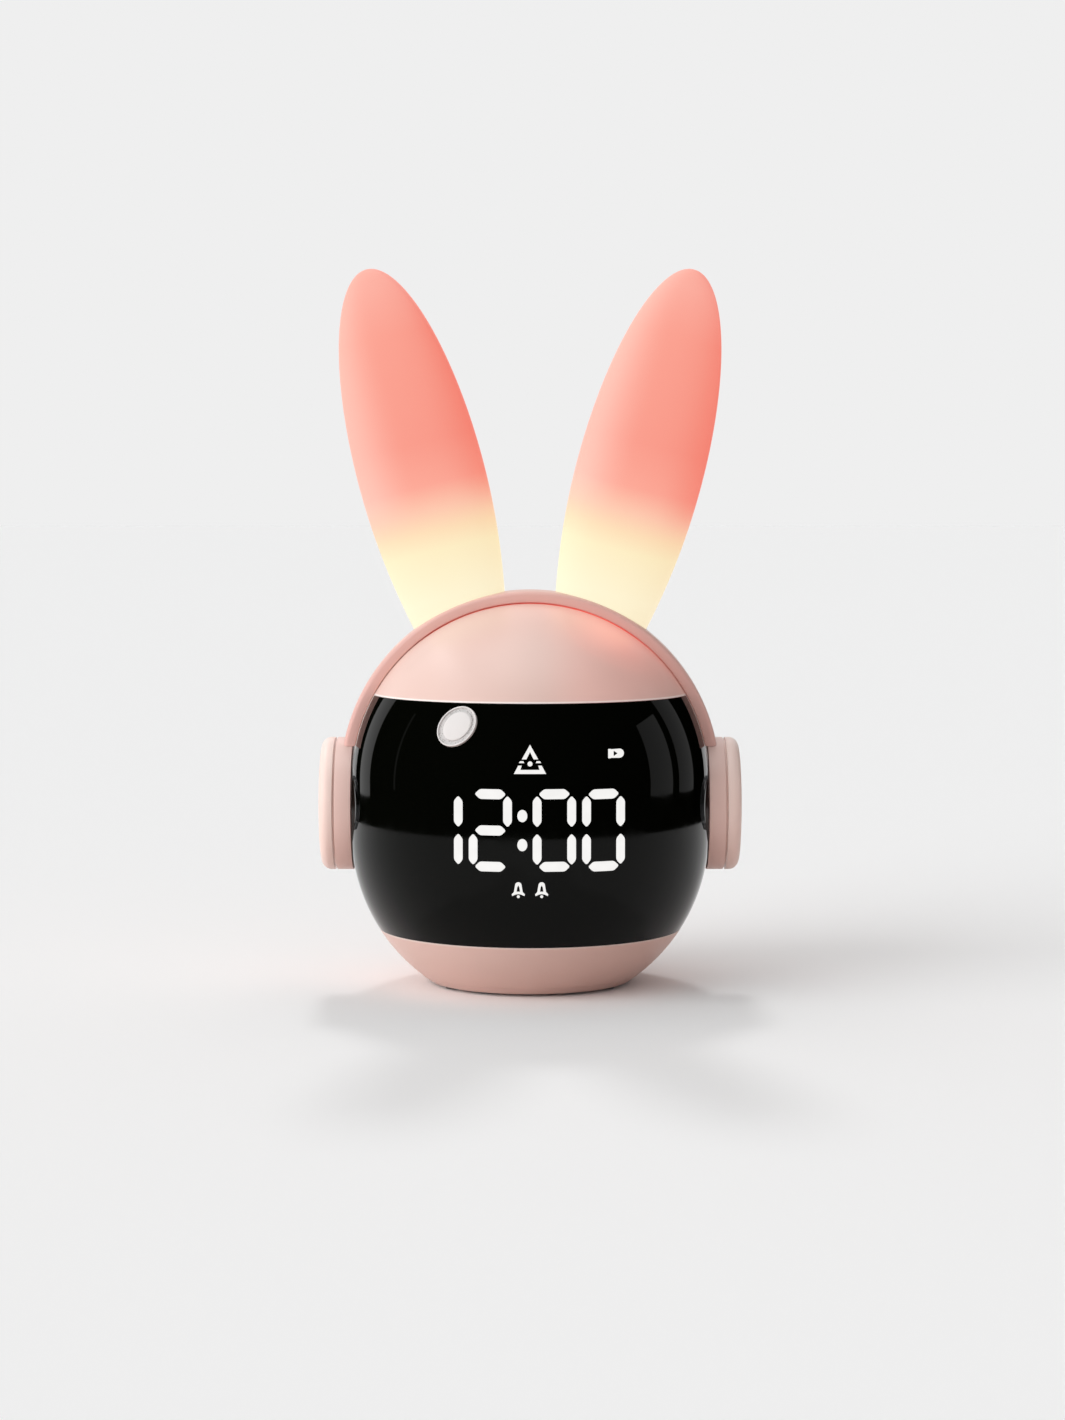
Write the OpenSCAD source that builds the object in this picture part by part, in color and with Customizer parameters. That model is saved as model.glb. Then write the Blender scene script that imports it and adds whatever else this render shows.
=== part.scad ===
// Kids alarm clock with night light: a round head with a dark display window,
// a headband, two lit ears and a push cup on each side. Millimetres, +Z up,
// +X to the right as the clock faces you, front along -Y, table at Z = 0.

/* [Head] */
// Outer radius of the round shells
body_r = 49.5; // [48:0.5:52]
// Radius of the flat floor under the head
floor_r = 30.35; // [29.5:0.05:32]
// Straight height between the lower and the upper ball centre
waist_h = 14.6; // [12:0.1:18]
// Wall of the moulded shells
shell_wall = 2.6; // [2.4:0.1:3]
// Height of the flat floor of the shells above the table
floor_h = 2.6; // [2.4:0.1:3]
// Thickness of the floor ring of the shells
floor_t = 2; // [1.8:0.1:3]

/* [Display window] */
// Thickness of the dark window
visor_t = 1.6; // [1.2:0.1:1.8]
// How far the window reaches below the lower ball centre
visor_below = 26.3; // [24:0.1:28]
// How far the window reaches above the upper ball centre
visor_above = 23.7; // [21:0.1:25.5]
// How far in front of the middle the window's side edges lie
visor_side = 2.8; // [2.4:0.1:14]

/* [Time display] */
// Hours shown
shown_hours = 12; // [0:1:23]
// Minutes shown
shown_minutes = 0; // [0:1:59]
// Height of a digit
digit_h = 21.6; // [18:0.1:24]
// Width of a digit
digit_w = 11.3; // [9:0.1:11.8]
// Distance between the two digits of a pair
digit_pitch = 12.9; // [12.5:0.1:13.5]
// Width of a lit segment
segment_w = 2.6; // [2:0.1:3]
// Gap between the digit pairs, for the colon
colon_gap = 5.4; // [5:0.1:7]
// Drop of the digits below the middle of the head
time_drop = 1.6; // [0:0.1:3]
// Place of the colon, left of the middle
colon_x = 2; // [0:0.1:3]
// Rise of the upper icons above the upper ball centre
icon_rise = 9.7; // [8.9:0.1:11]
// Drop of the alarm bells below the lower ball centre
bell_drop = 10.3; // [9.8:0.1:11]
// Place of the battery icon, right of the middle
battery_icon_x = 22.6; // [18:0.1:23]

/* [Touch pad] */
// Length of the oval touch pad
pad_len = 12.6; // [11:0.1:14]
// Width of the oval touch pad
pad_wid = 10.6; // [9:0.1:10.8]
// How far the pad stands proud of the window
pad_proud = 0.5; // [0.3:0.1:0.8]
// Turn of the pad's centre to the left
pad_turn = 24.4; // [20:0.1:26]
// Distance of the touch pad's middle below the window's upper edge
pad_drop = 6.05; // [5.8:0.05:8]

/* [Headband] */
// Thickness of the headband
band_t = 2.8; // [2.4:0.1:3.4]
// Width of the headband, front to back
band_w = 20; // [19:0.5:22]

/* [Ears] */
// How far an ear's foot point lies beneath the shell's surface
ear_sink = 1.8; // [1:0.1:3]
// Turn of that point from the top of the head
ear_turn = 23.6; // [22.5:0.1:25]
// Outward tilt of an ear
ear_tilt = 15; // [13:0.5:16]
// Length of an ear from its foot point to the tip
ear_len = 99.6; // [90:0.1:105]
// Distance from the foot point to the widest place
ear_wide_at = 42; // [36:0.5:48]
// Largest width of an ear
ear_w = 34.8; // [32:0.1:36]
// Width of an ear at the foot point
ear_base_w = 25; // [24:0.1:27]
// Largest thickness of an ear
ear_t = 16.4; // [15:0.1:18]
// Thickness of an ear at the foot point
ear_base_t = 13.6; // [13:0.1:15]
// Wall of the ear's light diffuser
ear_wall = 1.8; // [1.4:0.1:2.2]
// Length of the ear's tenon below the foot point
tenon_len = 14; // [12:0.5:16]
// Width of the ear's tenon
tenon_w = 18; // [16:0.5:20]
// Thickness of the ear's tenon
tenon_t = 9; // [8:0.5:10]
// Wall of the ear's tenon
tenon_wall = 1.5; // [1.2:0.1:2]

/* [Side cups] */
// Rise of the cups' axis above the middle of the head
cup_rise = 0.6; // [-1:0.1:2]
// Outer radius of the cups
cup_r = 18.3; // [17.6:0.1:19]
// How far the push caps stand out from the head
cup_out = 8; // [7.5:0.1:10]
// How far the cup rings are let into the head
ring_sink = 0.8; // [0.4:0.1:0.9]
// Depth of the cup rings
ring_depth = 4.5; // [4:0.1:5]
// Travel of the push caps
cap_travel = 0.5; // [0.3:0.1:0.7]
// Rounding of the push caps' outer edge
cap_round = 2.6; // [1.5:0.1:3]
// Radius of the caps' plungers
plunger_r = 3; // [2.5:0.1:3.5]
// Radius of the neck that passes through the shells
neck_r = 12.6; // [11:0.1:13]

/* [Back panel] */
// Width of the bay in the back
bay_w = 44; // [42:1:46]
// Height of the bay in the back
bay_h = 34; // [32:1:36]
// Rise of the middle of the bay above the middle of the head
bay_rise = 3; // [2:0.5:4]
// How far the panel's outer face lies inside the rear of the head
panel_depth = 7; // [6.6:0.1:7.4]
// Thickness of the panel
panel_t = 2; // [1.6:0.1:2.4]
// Radius of the four keys
key_r = 3.4; // [3:0.1:3.8]
// Distance between the keys
key_pitch = 9.6; // [9.4:0.1:10]
// Travel of the keys
key_travel = 0.8; // [0.4:0.1:1]
// Travel of the power slider
slider_travel = 3; // [2:0.5:3.5]
// Width of the charging socket
usb_w = 8.94; // [8.5:0.01:9.2]
// Height of the charging socket
usb_h = 3.26; // [3:0.01:3.4]

/* [Sound and power] */
// Radius of the speaker
speaker_r = 11.5; // [10:0.5:12]
// Downward tilt of the speaker's axis
speaker_tilt = 34; // [33:1:36]
// Radius of a hole in the speaker grille
grille_hole_r = 0.8; // [0.6:0.1:1]
// Width of the battery
battery_wid = 24; // [20:1:25]
// Thickness of the battery
battery_t = 10; // [6:0.5:11]
// Radius of a rubber foot
foot_r = 3; // [2.4:0.1:3.2]
// Height of a rubber foot
foot_t = 1.2; // [1:0.1:1.4]
// How far the feet hold the base plate off the table
foot_gap = 0.8; // [0.6:0.1:0.9]

/* [Boards and screws] */
// Thickness of the circuit boards
pcb_t = 1.6; // [1:0.1:1.6]
// Body width of a push switch on a board
switch_w = 6; // [5:0.5:6]
// Height of a push switch on a board
switch_t = 3.5; // [3:0.1:4]
// Shank radius of the small screws
screw_r = 1.25; // [1:0.05:1.4]
// Head radius of the small screws
head_r = 2.2; // [2:0.1:2.5]
// Head height of the small screws
head_t = 1.4; // [1.2:0.1:1.6]

/* [Clearances] */
// Gap between fixed pieces that curve into each other
seat_gap = 0.1; // [0.05:0.05:0.2]
// Gap all round a piece that slides freely
slide_gap = 0.3; // [0.2:0.05:0.4]
// Radial gap of a guided plunger in its bore
guide_gap = 0.05; // [0.02:0.01:0.1]
// Gap all round a light guide in the dark window
inlay_gap = 0.05; // [0.02:0.01:0.1]

/* [Hidden] */
$fn = 96;

// Derived places
lower_h = floor_h + sqrt(body_r * body_r - floor_r * floor_r);
upper_h = lower_h + waist_h;
mid_h = lower_h + waist_h / 2;
visor_low = lower_h - visor_below;
visor_top = upper_h + visor_above;
time_h = mid_h - time_drop;
icon_h = upper_h + icon_rise;
bell_h = lower_h - bell_drop;
pad_rise = asin((visor_above - pad_drop) / body_r);
ear_x = (body_r - ear_sink) * sin(ear_turn);
ear_h = upper_h + (body_r - ear_sink) * cos(ear_turn);
cup_h = mid_h + cup_rise;
cup_reach = body_r + cup_out;
ring_in = body_r - ring_sink;
bay_z = mid_h + bay_rise;
panel_y = body_r - panel_depth;
inner_r = body_r - shell_wall;
visor_in_r = body_r - visor_t;
floor_top = floor_h + floor_t;
band_in_r = body_r + seat_gap;
band_out_r = band_in_r + band_t;
big = 2 * (body_r + ear_len);

// Head details
round_fn = 240;
seam_turn = 49.5;
floor_ring_w = 7.85;
floor_hole_r = floor_r - floor_ring_w;
post_r = 3.2;
post_in = 14.45;
post_angle = 34.2;
post_x = (body_r - post_in) * cos(post_angle);
post_rise = (body_r - post_in) * sin(post_angle);
head_depth = 9;
base_screw_in = 5.55;
base_screw_circle = floor_r - base_screw_in;
base_screw_angle = 62;
foot_in = 6.35;
foot_circle = floor_r - foot_in;
foot_angle = 33;

// Touch pad details
pad_sink = 0.9;
pad_lip = 1.1;
pad_groove = 0.4;
pad_slant = 47;

// Display module places
display_depth = 19.5;
module_back = body_r - display_depth;
module_margin = 1.1;
module_w = 2 * (digit_pitch + digit_w + module_margin) + colon_gap;
module_corner = 6;
board_clear = 1.45;
board_half = sqrt(inner_r * inner_r - module_back * module_back) - board_clear;
board_low = lower_h - 13.1;
board_high = upper_h + 14.7;
board_corner = 6;
board_mid = (board_low + board_high) / 2;
board_post_x = board_half - 2.2;
board_post_z = 10;
board_post_r = 2;
led_t = 0.7;
segment_gap = 0.5;
segment_blunt = 0.45;
colon_rise = 3.8;
colon_dot = [3.6, 2.6];
bell_x = 3.1;
led_side = [1.6, 0.8];

// Headband section: rounded edges and a slightly crowned outer face
band_edge_r = 1.1;
band_foot = 4;
band_crown_r = 90;

// Ear details
ear_side_points = 40;
ear_lower_rings = 6;
ear_upper_rings = 14;
ear_power = 2.3;
ear_floor = 9;
tenon_flange = 1.2;
flange_at = 4.4;
ear_pcb_t = 1.2;
ear_led = [3.5, 2.8, 1.9];
ear_led_pitch = 4.6;

// Cup details, measured outward along the cup's axis
ring_out = ring_in + ring_depth;
ring_floor_t = 1.7;
collar_back = 0.9;
collar_r = cup_r - collar_back;
collar_min = 0.6;
ring_wall = 2.1;
cap_rim = ring_out + cap_travel + 0.1;
cap_wall = 1.8;
skirt_depth = 2;
boss_wall = 2.4;
boss_len = 1.8;
neck_wall = 1.6;
neck_len = 4.1;
neck_in = ring_in - neck_len;
neck_flange = 1.5;
neck_flange_t = 1.1;
side_board_r = 12.2;
spring_r = 7.4;
spring_wire_r = 0.4;
spring_turns = 3;
spring_sides = 8;
spring_steps = 16;
base_head_z = floor_h - 0.5;

// Back panel details
bay_corner = 6;
bay_wall = 1.6;
bay_lip = 2;
lip_t = 1.6;
panel_back = panel_y - panel_t;
key_row_z = bay_z + 6.5;
key_tip = panel_y + 0.9;
key_flange = 0.9;
key_flange_t = 0.9;
key_xs = [for (i = [0:3]) (i - 1.5) * key_pitch];
panel_post_x = 16.8;
panel_post_z = 12.3;
panel_post_r = 1.9;
key_pcb_front = panel_back - 5.6;
slider_x = 12;
slider_z = bay_z - 7.5;
nub = [4, 3];
usb_x = 8;
usb_z = slider_z;
usb_depth = 7.2;
usb_wall = 0.3;

// Main board and inner pieces
main_y = 13.6;
board_face = main_y - pcb_t;
main_clear = 2.8;
main_half = post_x - post_r - main_clear;
main_reach = 20.7;
main_low = lower_h - main_reach;
main_high = upper_h + main_reach;
main_post_in = 3.5;
main_post_x = main_half - main_post_in;
main_post_z = [main_low + main_post_in, main_high - main_post_in];
main_post_r = 2.4;
// Flat chips, then connectors: x, rise above the middle, width, height
chips = [[0, 3, 10, 10], [-13, 11, 6, 5], [12, 13, 5, 4]];
connectors = [[-14, -17, 8, 4], [14, -17, 8, 4], [0, 23, 12, 4]];
chip_t = 1.6;
connector_t = 4.5;
coin_r = 6.4;
coin_t = 3.2;
speaker_in = 4.3;
speaker_deep = 10.2;
speaker_seat = inner_r - speaker_in;
battery_corner = floor_hole_r - 1.7;
battery_len = 2 * sqrt(battery_corner * battery_corner - battery_wid * battery_wid / 4);
sleeve_wall = 1.6;
tray_wall = 1.2;
tray_floor = 0.8;
touch_gap = 0.02;
battery_top = floor_h + tray_floor + touch_gap + battery_t;
tray_h = 4;
lead_r = 0.6;
lead_sides = 8;
lead_steps = 14;
reset_drop = 13;
reset_r = 0.6;
panel_tab_x = bay_w / 2 - 2.8;
panel_tab_r = 3.2;

// ---------- Shapes used by several pieces ----------

// Solid of the head: two balls joined by a straight waist
module head_solid(r) {
    rotate(seam_turn) {
        translate([0, 0, lower_h]) sphere(r, $fn = round_fn);
        translate([0, 0, upper_h]) sphere(r, $fn = round_fn);
        translate([0, 0, lower_h]) cylinder(r = r, h = waist_h, $fn = round_fn);
    }
}

// Keeps what lies in front of or behind the parting plane, and above the floor
module half_space(front) {
    translate([-big / 2, front ? -big : 0, floor_h]) cube([big, big, big]);
}

module rounded_rect(w, h, r) {
    square([w - 2 * r, h], center = true);
    square([w, h - 2 * r], center = true);
    for (x = [-1, 1], y = [-1, 1])
        translate([x * (w / 2 - r), y * (h / 2 - r)]) circle(r);
}

// Slot shape with round ends, length along X
module stadium(len, wid) {
    square([len - wid, wid], center = true);
    for (side = [-1, 1])
        translate([side * (len - wid) / 2, 0]) circle(d = wid);
}

// Stands a flat X-Z drawing up and gives it depth from y0 to y1
module standing(y0, y1) {
    translate([0, y1, 0]) rotate([90, 0, 0]) linear_extrude(y1 - y0) children();
}

// Cylinder along Y from y0 to y1
module rod_y(r, y0, y1) {
    translate([0, y0, 0]) rotate([-90, 0, 0]) cylinder(r = r, h = y1 - y0);
}

// Local Z along the cup's axis, outward; side is 1 for right and -1 for left
module at_cup(side) {
    mirror([side < 0 ? 1 : 0, 0, 0])
        translate([0, 0, cup_h]) rotate([0, 90, 0]) children();
}

// Local Z along the ear's axis, towards the tip
module at_ear(side) {
    mirror([side < 0 ? 1 : 0, 0, 0])
        translate([ear_x, 0, ear_h]) rotate([0, ear_tilt, 0]) children();
}

// Local Z along the speaker's axis, outward
module at_speaker() {
    translate([0, 0, lower_h]) rotate([-90 - speaker_tilt, 0, 0]) children();
}

// Screw with its head's underside at the origin and its shank along -Z
module screw(len) {
    difference() {
        cylinder(r = head_r, h = head_t);
        translate([0, 0, head_t - 0.7]) linear_extrude(1) {
            square([2.4, 0.6], center = true);
            square([0.6, 2.4], center = true);
        }
    }
    translate([0, 0, -len]) cylinder(r = screw_r, h = len);
}

// Point and direction on a smooth curve with two end points and two handles
function curve_at(p, t) = pow(1 - t, 3) * p[0] + 3 * t * pow(1 - t, 2) * p[1]
    + 3 * t * t * (1 - t) * p[2] + pow(t, 3) * p[3];
function curve_dir(p, t) = pow(1 - t, 2) * (p[1] - p[0]) + 2 * t * (1 - t) * (p[2] - p[1])
    + t * t * (p[3] - p[2]);
function unit(v) = v / norm(v);

// Insulated lead along a smooth curve
module lead(p) {
    points = [for (i = [0:lead_steps])
        let (t = i / lead_steps, along = unit(curve_dir(p, t)),
             side = unit(cross(along, [0.9, 0.3, 0.2])), up = cross(side, along))
        for (k = [0:lead_sides - 1])
            curve_at(p, t) + lead_r * (side * cos(360 * k / lead_sides)
                                       + up * sin(360 * k / lead_sides))];
    polyhedron(points, tube_faces(lead_steps, lead_sides));
}

// Faces of a closed tube made of rings of points
function tube_faces(count, sides) = concat(
    [[for (k = [sides - 1:-1:0]) k]],
    [[for (k = [0:sides - 1]) count * sides + k]],
    [for (i = [0:count - 1], k = [0:sides - 1])
        let (a = i * sides + k, b = i * sides + (k + 1) % sides)
        each [[a, b, b + sides], [a, b + sides, a + sides]]]);

module four(x, z) {
    for (sx = [-1, 1], sz = [-1, 1]) translate([sx * x, 0, sz * z]) children();
}

module post_places() {
    for (x = [-post_x, post_x], z = [lower_h - post_rise, upper_h + post_rise])
        translate([x, 0, z]) children();
}

// ---------- Head shells ----------

// Holes in the shells for the ear tenons, the cups' necks and the base
module shell_holes() {
    for (side = [-1, 1]) {
        at_ear(side) translate([0, 0, -flange_at])
            linear_extrude(2 * flange_at + 6)
                stadium(tenon_w + 2 * slide_gap, tenon_t + 2 * slide_gap);
        // Hole for the cup's neck, and flat seats for its ring and collar
        at_cup(side) rotate(90) {
            translate([0, 0, inner_r / 2]) cylinder(r = neck_r + slide_gap, h = body_r);
            translate([0, 0, ring_in - seat_gap]) cylinder(r = cup_r + seat_gap, h = body_r);
            translate([0, 0, ring_in - collar_min - seat_gap])
                cylinder(r = collar_r + seat_gap, h = body_r);
        }
    }
    translate([0, 0, floor_h - 1]) cylinder(r = floor_hole_r, h = floor_t + 2);
    base_screw_places() translate([0, 0, floor_h - 1])
        cylinder(r = screw_r + 0.05, h = floor_t + 2);
}

// Four places around the base, the angle taken from the X axis
module around_base(circle_r, angle) {
    for (sx = [-1, 1], sy = [-1, 1])
        translate([sx * circle_r * cos(angle), sy * circle_r * sin(angle), 0]) children();
}

module base_screw_places() {
    around_base(base_screw_circle, base_screw_angle) children();
}

module foot_places() {
    around_base(foot_circle, foot_angle) children();
}

module board_post_places() {
    translate([0, 0, board_mid]) four(board_post_x, board_post_z) children();
}

module shell_half(front) {
    difference() {
        intersection() {
            head_solid(body_r);
            half_space(front);
        }
        intersection() {
            head_solid(inner_r);
            translate([0, 0, floor_top]) cylinder(r = big / 2, h = big);
        }
        shell_holes();
    }
}

// Zone of the window, which goes round the collars; grow widens it on all sides
module window_zone(grow) {
    difference() {
        translate([-big / 2, -big, visor_low - grow])
            cube([big, big - visor_side + grow, visor_top - visor_low + 2 * grow]);
        for (side = [-1, 1]) at_cup(side)
            cylinder(r = collar_r + 2 * seat_gap - grow, h = big);
    }
}

module front_shell() color("#ecc8be") difference() {
    union() {
        shell_half(true);
        intersection() {
            post_places() rod_y(post_r, -body_r, -0.1);
            head_solid(inner_r + 0.5);
        }
        intersection() {
            board_post_places() rod_y(board_post_r, -body_r, -module_back);
            head_solid(inner_r + 0.5);
        }
    }
    // Recess for the window, with the opening for the display behind it
    difference() {
        intersection() {
            window_zone(seat_gap);
            head_solid(body_r + 1);
        }
        head_solid(visor_in_r - seat_gap);
    }
    standing(-body_r - 1, -module_back - 1) module_outline(slide_gap);
    post_places() rod_y(screw_r + 0.05, -12, 1);
    board_post_places() rod_y(screw_r + 0.05, -module_back - 3, -module_back + 1);
}

module bay_outline(grow) {
    translate([0, bay_z]) rounded_rect(bay_w + 2 * grow, bay_h + 2 * grow, bay_corner + grow);
}

module grille_places() {
    for (ring = [0:3], i = [0:max(0, 6 * ring - 1)])
        rotate(360 * i / max(1, 6 * ring)) translate([2.6 * ring, 0]) children();
}

module rear_shell() color("#e6c0b5") difference() {
    union() {
        shell_half(false);
        intersection() {
            post_places() rod_y(post_r, 0, body_r);
            head_solid(inner_r + 0.5);
        }
        // Tub around the back panel, with the lip that the panel sits on
        intersection() {
            standing(panel_back - lip_t, body_r) bay_outline(bay_wall);
            head_solid(body_r - shell_wall / 2);
        }
        // Posts for the main board
        intersection() {
            for (x = [-main_post_x, main_post_x], z = main_post_z)
                translate([x, 0, z]) rod_y(main_post_r, main_y, body_r);
            head_solid(inner_r + 0.5);
        }
        // Sleeve that holds the speaker
        intersection() {
            at_speaker() translate([0, 0, speaker_seat - 4.2])
                cylinder(r = speaker_r + sleeve_wall, h = 12);
            head_solid(inner_r + 0.5);
        }
    }
    standing(panel_back, body_r + 1) bay_outline(0);
    standing(panel_back - lip_t - 1, body_r) difference() {
        bay_outline(-bay_lip);
        for (side = [-1, 1]) translate([side * panel_tab_x, bay_z]) circle(panel_tab_r);
    }
    panel_tab_places() rod_y(screw_r + 0.05, panel_back - lip_t - 1, panel_back + 1);
    post_places() {
        rod_y(screw_r + 0.1, -1, body_r);
        rod_y(head_r + 0.3, head_depth, body_r);
    }
    for (x = [-main_post_x, main_post_x], z = main_post_z)
        translate([x, 0, z]) rod_y(screw_r + 0.05, main_y - 1, main_y + 6);
    // Bore of the sleeve, and the sound holes through the wall
    intersection() {
        at_speaker() {
            translate([0, 0, speaker_seat - 5]) cylinder(r = speaker_r + seat_gap, h = 5);
            translate([0, 0, speaker_seat - 1]) cylinder(r = speaker_r - 1, h = 6);
        }
        head_solid(inner_r);
    }
    at_speaker() translate([0, 0, speaker_seat + 1]) linear_extrude(body_r - speaker_seat)
        grille_places() circle(grille_hole_r);
}

module panel_tab_places() {
    for (side = [-1, 1]) translate([side * panel_tab_x, 0, bay_z]) children();
}

module base_plate() color("#d9b3a8") difference() {
    union() {
        intersection() {
            translate([0, 0, foot_gap]) cylinder(r = body_r, h = floor_h - foot_gap - touch_gap);
            head_solid(body_r);
        }
        // Spigot that centres the plate in the shells' floor
        translate([0, 0, foot_gap])
            cylinder(r = floor_hole_r - seat_gap, h = floor_h + tray_floor - foot_gap);
        // Low wall around the battery
        intersection() {
            translate([0, 0, foot_gap]) cylinder(r = floor_hole_r - seat_gap, h = big);
            linear_extrude(floor_h + tray_floor + tray_h) difference() {
                square([battery_len + 2 * (tray_wall + slide_gap),
                        battery_wid + 2 * (tray_wall + slide_gap)], center = true);
                square([battery_len + 2 * slide_gap, battery_wid + 2 * slide_gap],
                       center = true);
            }
        }
    }
    base_screw_places() translate([0, 0, -1]) {
        cylinder(r = screw_r + 0.1, h = floor_h + floor_t);
        cylinder(r = head_r + 0.2, h = 1 + base_head_z);
    }
    foot_places() cylinder(r = foot_r + 0.05, h = foot_t);
}

module rubber_feet() color("#6f6a68") foot_places() cylinder(r = foot_r, h = foot_t);

// Arch whose inner face follows the ball and whose outer face is slightly crowned
module headband() color("#e4b6ad") difference() {
    intersection() {
        translate([0, 0, upper_h]) rotate([90, 0, 0]) rotate_extrude() intersection() {
            union() {
                translate([band_out_r - band_edge_r - band_foot / 2, 0])
                    square([band_foot, band_w], center = true);
                translate([band_out_r - 2 * band_edge_r, 0])
                    rounded_rect(4 * band_edge_r, band_w, band_edge_r);
            }
            translate([band_out_r - band_crown_r, 0]) circle(band_crown_r, $fn = 200);
        }
        translate([-big / 2, -big / 2, cup_h]) cube([big, big, big]);
    }
    head_solid(band_in_r);
    for (side = [-1, 1]) {
        at_cup(side) cylinder(r = cup_r + seat_gap, h = big);
        at_ear(side) translate([0, 0, -flange_at]) linear_extrude(30)
            stadium(tenon_w + 2 * slide_gap, tenon_t + 2 * slide_gap);
    }
}

// ---------- Display ----------

// Lit segments of the digits 0 to 9, in the order top, upper left, upper right,
// middle, lower left, lower right, bottom
DIGIT_SEGMENTS = [
    [1, 1, 1, 0, 1, 1, 1], [0, 0, 1, 0, 0, 1, 0], [1, 0, 1, 1, 1, 0, 1],
    [1, 0, 1, 1, 0, 1, 1], [0, 1, 1, 1, 0, 1, 0], [1, 1, 0, 1, 0, 1, 1],
    [1, 1, 0, 1, 1, 1, 1], [1, 0, 1, 0, 0, 1, 0], [1, 1, 1, 1, 1, 1, 1],
    [1, 1, 1, 1, 0, 1, 1]
];
ALL_SEGMENTS = [1, 1, 1, 1, 1, 1, 1];
shown = [floor(shown_hours / 10), shown_hours % 10,
         floor(shown_minutes / 10), shown_minutes % 10];
shown_segments = [for (n = shown) DIGIT_SEGMENTS[n]];
pair_w = digit_pitch + digit_w;
digit_xs = [-colon_x - colon_gap / 2 - pair_w, -colon_x - colon_gap / 2 - digit_w,
            -colon_x + colon_gap / 2, -colon_x + colon_gap / 2 + digit_pitch];

// One segment: a bar with blunt pointed ends, length along X; grow widens it
module segment(length, grow) {
    half = length / 2 + grow;
    side = segment_w / 2 + grow;
    blunt = segment_blunt + grow / 2;
    shoulder = half - side + blunt;
    polygon([[-half, -blunt], [-shoulder, -side], [shoulder, -side], [half, -blunt],
             [half, blunt], [shoulder, side], [-shoulder, side], [-half, blunt]]);
}

// One digit with its lower left corner at the origin
module digit(lit, grow) {
    ends = segment_gap + segment_blunt;
    across = digit_w - segment_w - 2 * ends;
    up = (digit_h - segment_w) / 2 - 2 * ends;
    left = segment_w / 2;
    right = digit_w - segment_w / 2;
    low = segment_w / 2 + (digit_h - segment_w) / 4;
    levels = [digit_h - segment_w / 2, digit_h / 2, segment_w / 2];
    for (i = [0:2]) if (lit[3 * i])
        translate([digit_w / 2, levels[i]]) segment(across, grow);
    for (i = [0:1], j = [0:1]) if (lit[1 + 3 * i + j])
        translate([j == 0 ? left : right, i == 0 ? digit_h - low : low])
            rotate(90) segment(up, grow);
}

module colon_dots(grow) {
    for (side = [-1, 1]) translate([-colon_x, time_h + side * colon_rise])
        rotate(90) stadium(colon_dot[0] + 2 * grow, colon_dot[1] + 2 * grow);
}

module time_outline(digits, grow) {
    for (i = [0:3]) translate([digit_xs[i], time_h - digit_h / 2]) digit(digits[i], grow);
    colon_dots(grow);
}

module triangle(half, low, high, grow) {
    polygon([[-half - 1.7 * grow, low - grow], [half + 1.7 * grow, low - grow],
             [0, high + 2.1 * grow]]);
}

// Warning triangle with a dot, open at mid height so that its middle is held
module warning_triangle(grow) {
    translate([0, icon_h]) {
        difference() {
            triangle(4.4, -3.8, 3.8, grow);
            triangle(2.7, -2.8, 1.9, -grow);
            translate([0, -0.4]) square([12, 0.8 - 2 * grow], center = true);
        }
        translate([0, -1.4]) circle(0.7 + grow);
    }
}

// Battery: three walls, and the fourth with its nub
module battery_icon(grow) {
    translate([battery_icon_x, icon_h + 1]) {
        difference() {
            rounded_rect(3.4 + 2 * grow, 2.5 + 2 * grow, 0.4);
            translate([0.65, 0]) square([2.8, 1.2 - 2 * grow], center = true);
        }
        translate([2.4, 0]) square([0.6 + 2 * grow, 1.2 + 2 * grow], center = true);
    }
}

// An alarm bell: a round crown, a skirt and a clapper
module bell_icon(grow) {
    translate([0, 0.8]) circle(1.2 + grow);
    square([2.4 + 2 * grow, 2.4 + 2 * grow], center = true);
    translate([0, -1.2]) square([3.6 + 2 * grow, 0.9 + 2 * grow], center = true);
    translate([0, -1.7]) circle(0.55 + grow);
}

module icon_outline(grow) {
    warning_triangle(grow);
    battery_icon(grow);
    for (side = [-1, 1]) translate([side * bell_x, bell_h]) bell_icon(grow);
}

// Puts a flat drawing through the window wall
module in_window() {
    difference() {
        intersection() {
            standing(-body_r - 1, -visor_side) children();
            head_solid(body_r);
        }
        head_solid(visor_in_r);
    }
}

module pad_place() {
    translate([0, 0, upper_h]) rotate([-pad_rise, 0, -pad_turn]) rotate([90, 0, 0])
        rotate(pad_slant) children();
}

module visor() color("#0d0d0c") difference() {
    intersection() {
        head_solid(body_r);
        window_zone(0);
    }
    head_solid(visor_in_r);
    standing(-body_r - 1, -visor_side) {
        time_outline(shown_segments, inlay_gap);
        icon_outline(inlay_gap);
    }
    pad_place() translate([0, 0, body_r - pad_sink]) linear_extrude(3)
        stadium(pad_len + 2 * inlay_gap, pad_wid + 2 * inlay_gap);
}

module time_segments() color("#f6f5f2") in_window() time_outline(shown_segments, 0);

module status_icons() color("#f6f5f2") in_window() icon_outline(0);

module touch_pad() color("#f0efee") pad_place()
    translate([0, 0, body_r - pad_sink + inlay_gap]) difference() {
        linear_extrude(pad_sink + pad_proud - inlay_gap) stadium(pad_len, pad_wid);
        translate([0, 0, pad_sink + pad_proud - inlay_gap - pad_groove]) linear_extrude(2)
            stadium(pad_len - 2 * pad_lip, pad_wid - 2 * pad_lip);
    }

module module_outline(grow) {
    translate([-colon_x, board_mid])
        rounded_rect(module_w + 2 * grow, board_high - board_low + 2 * grow, module_corner);
}

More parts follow.
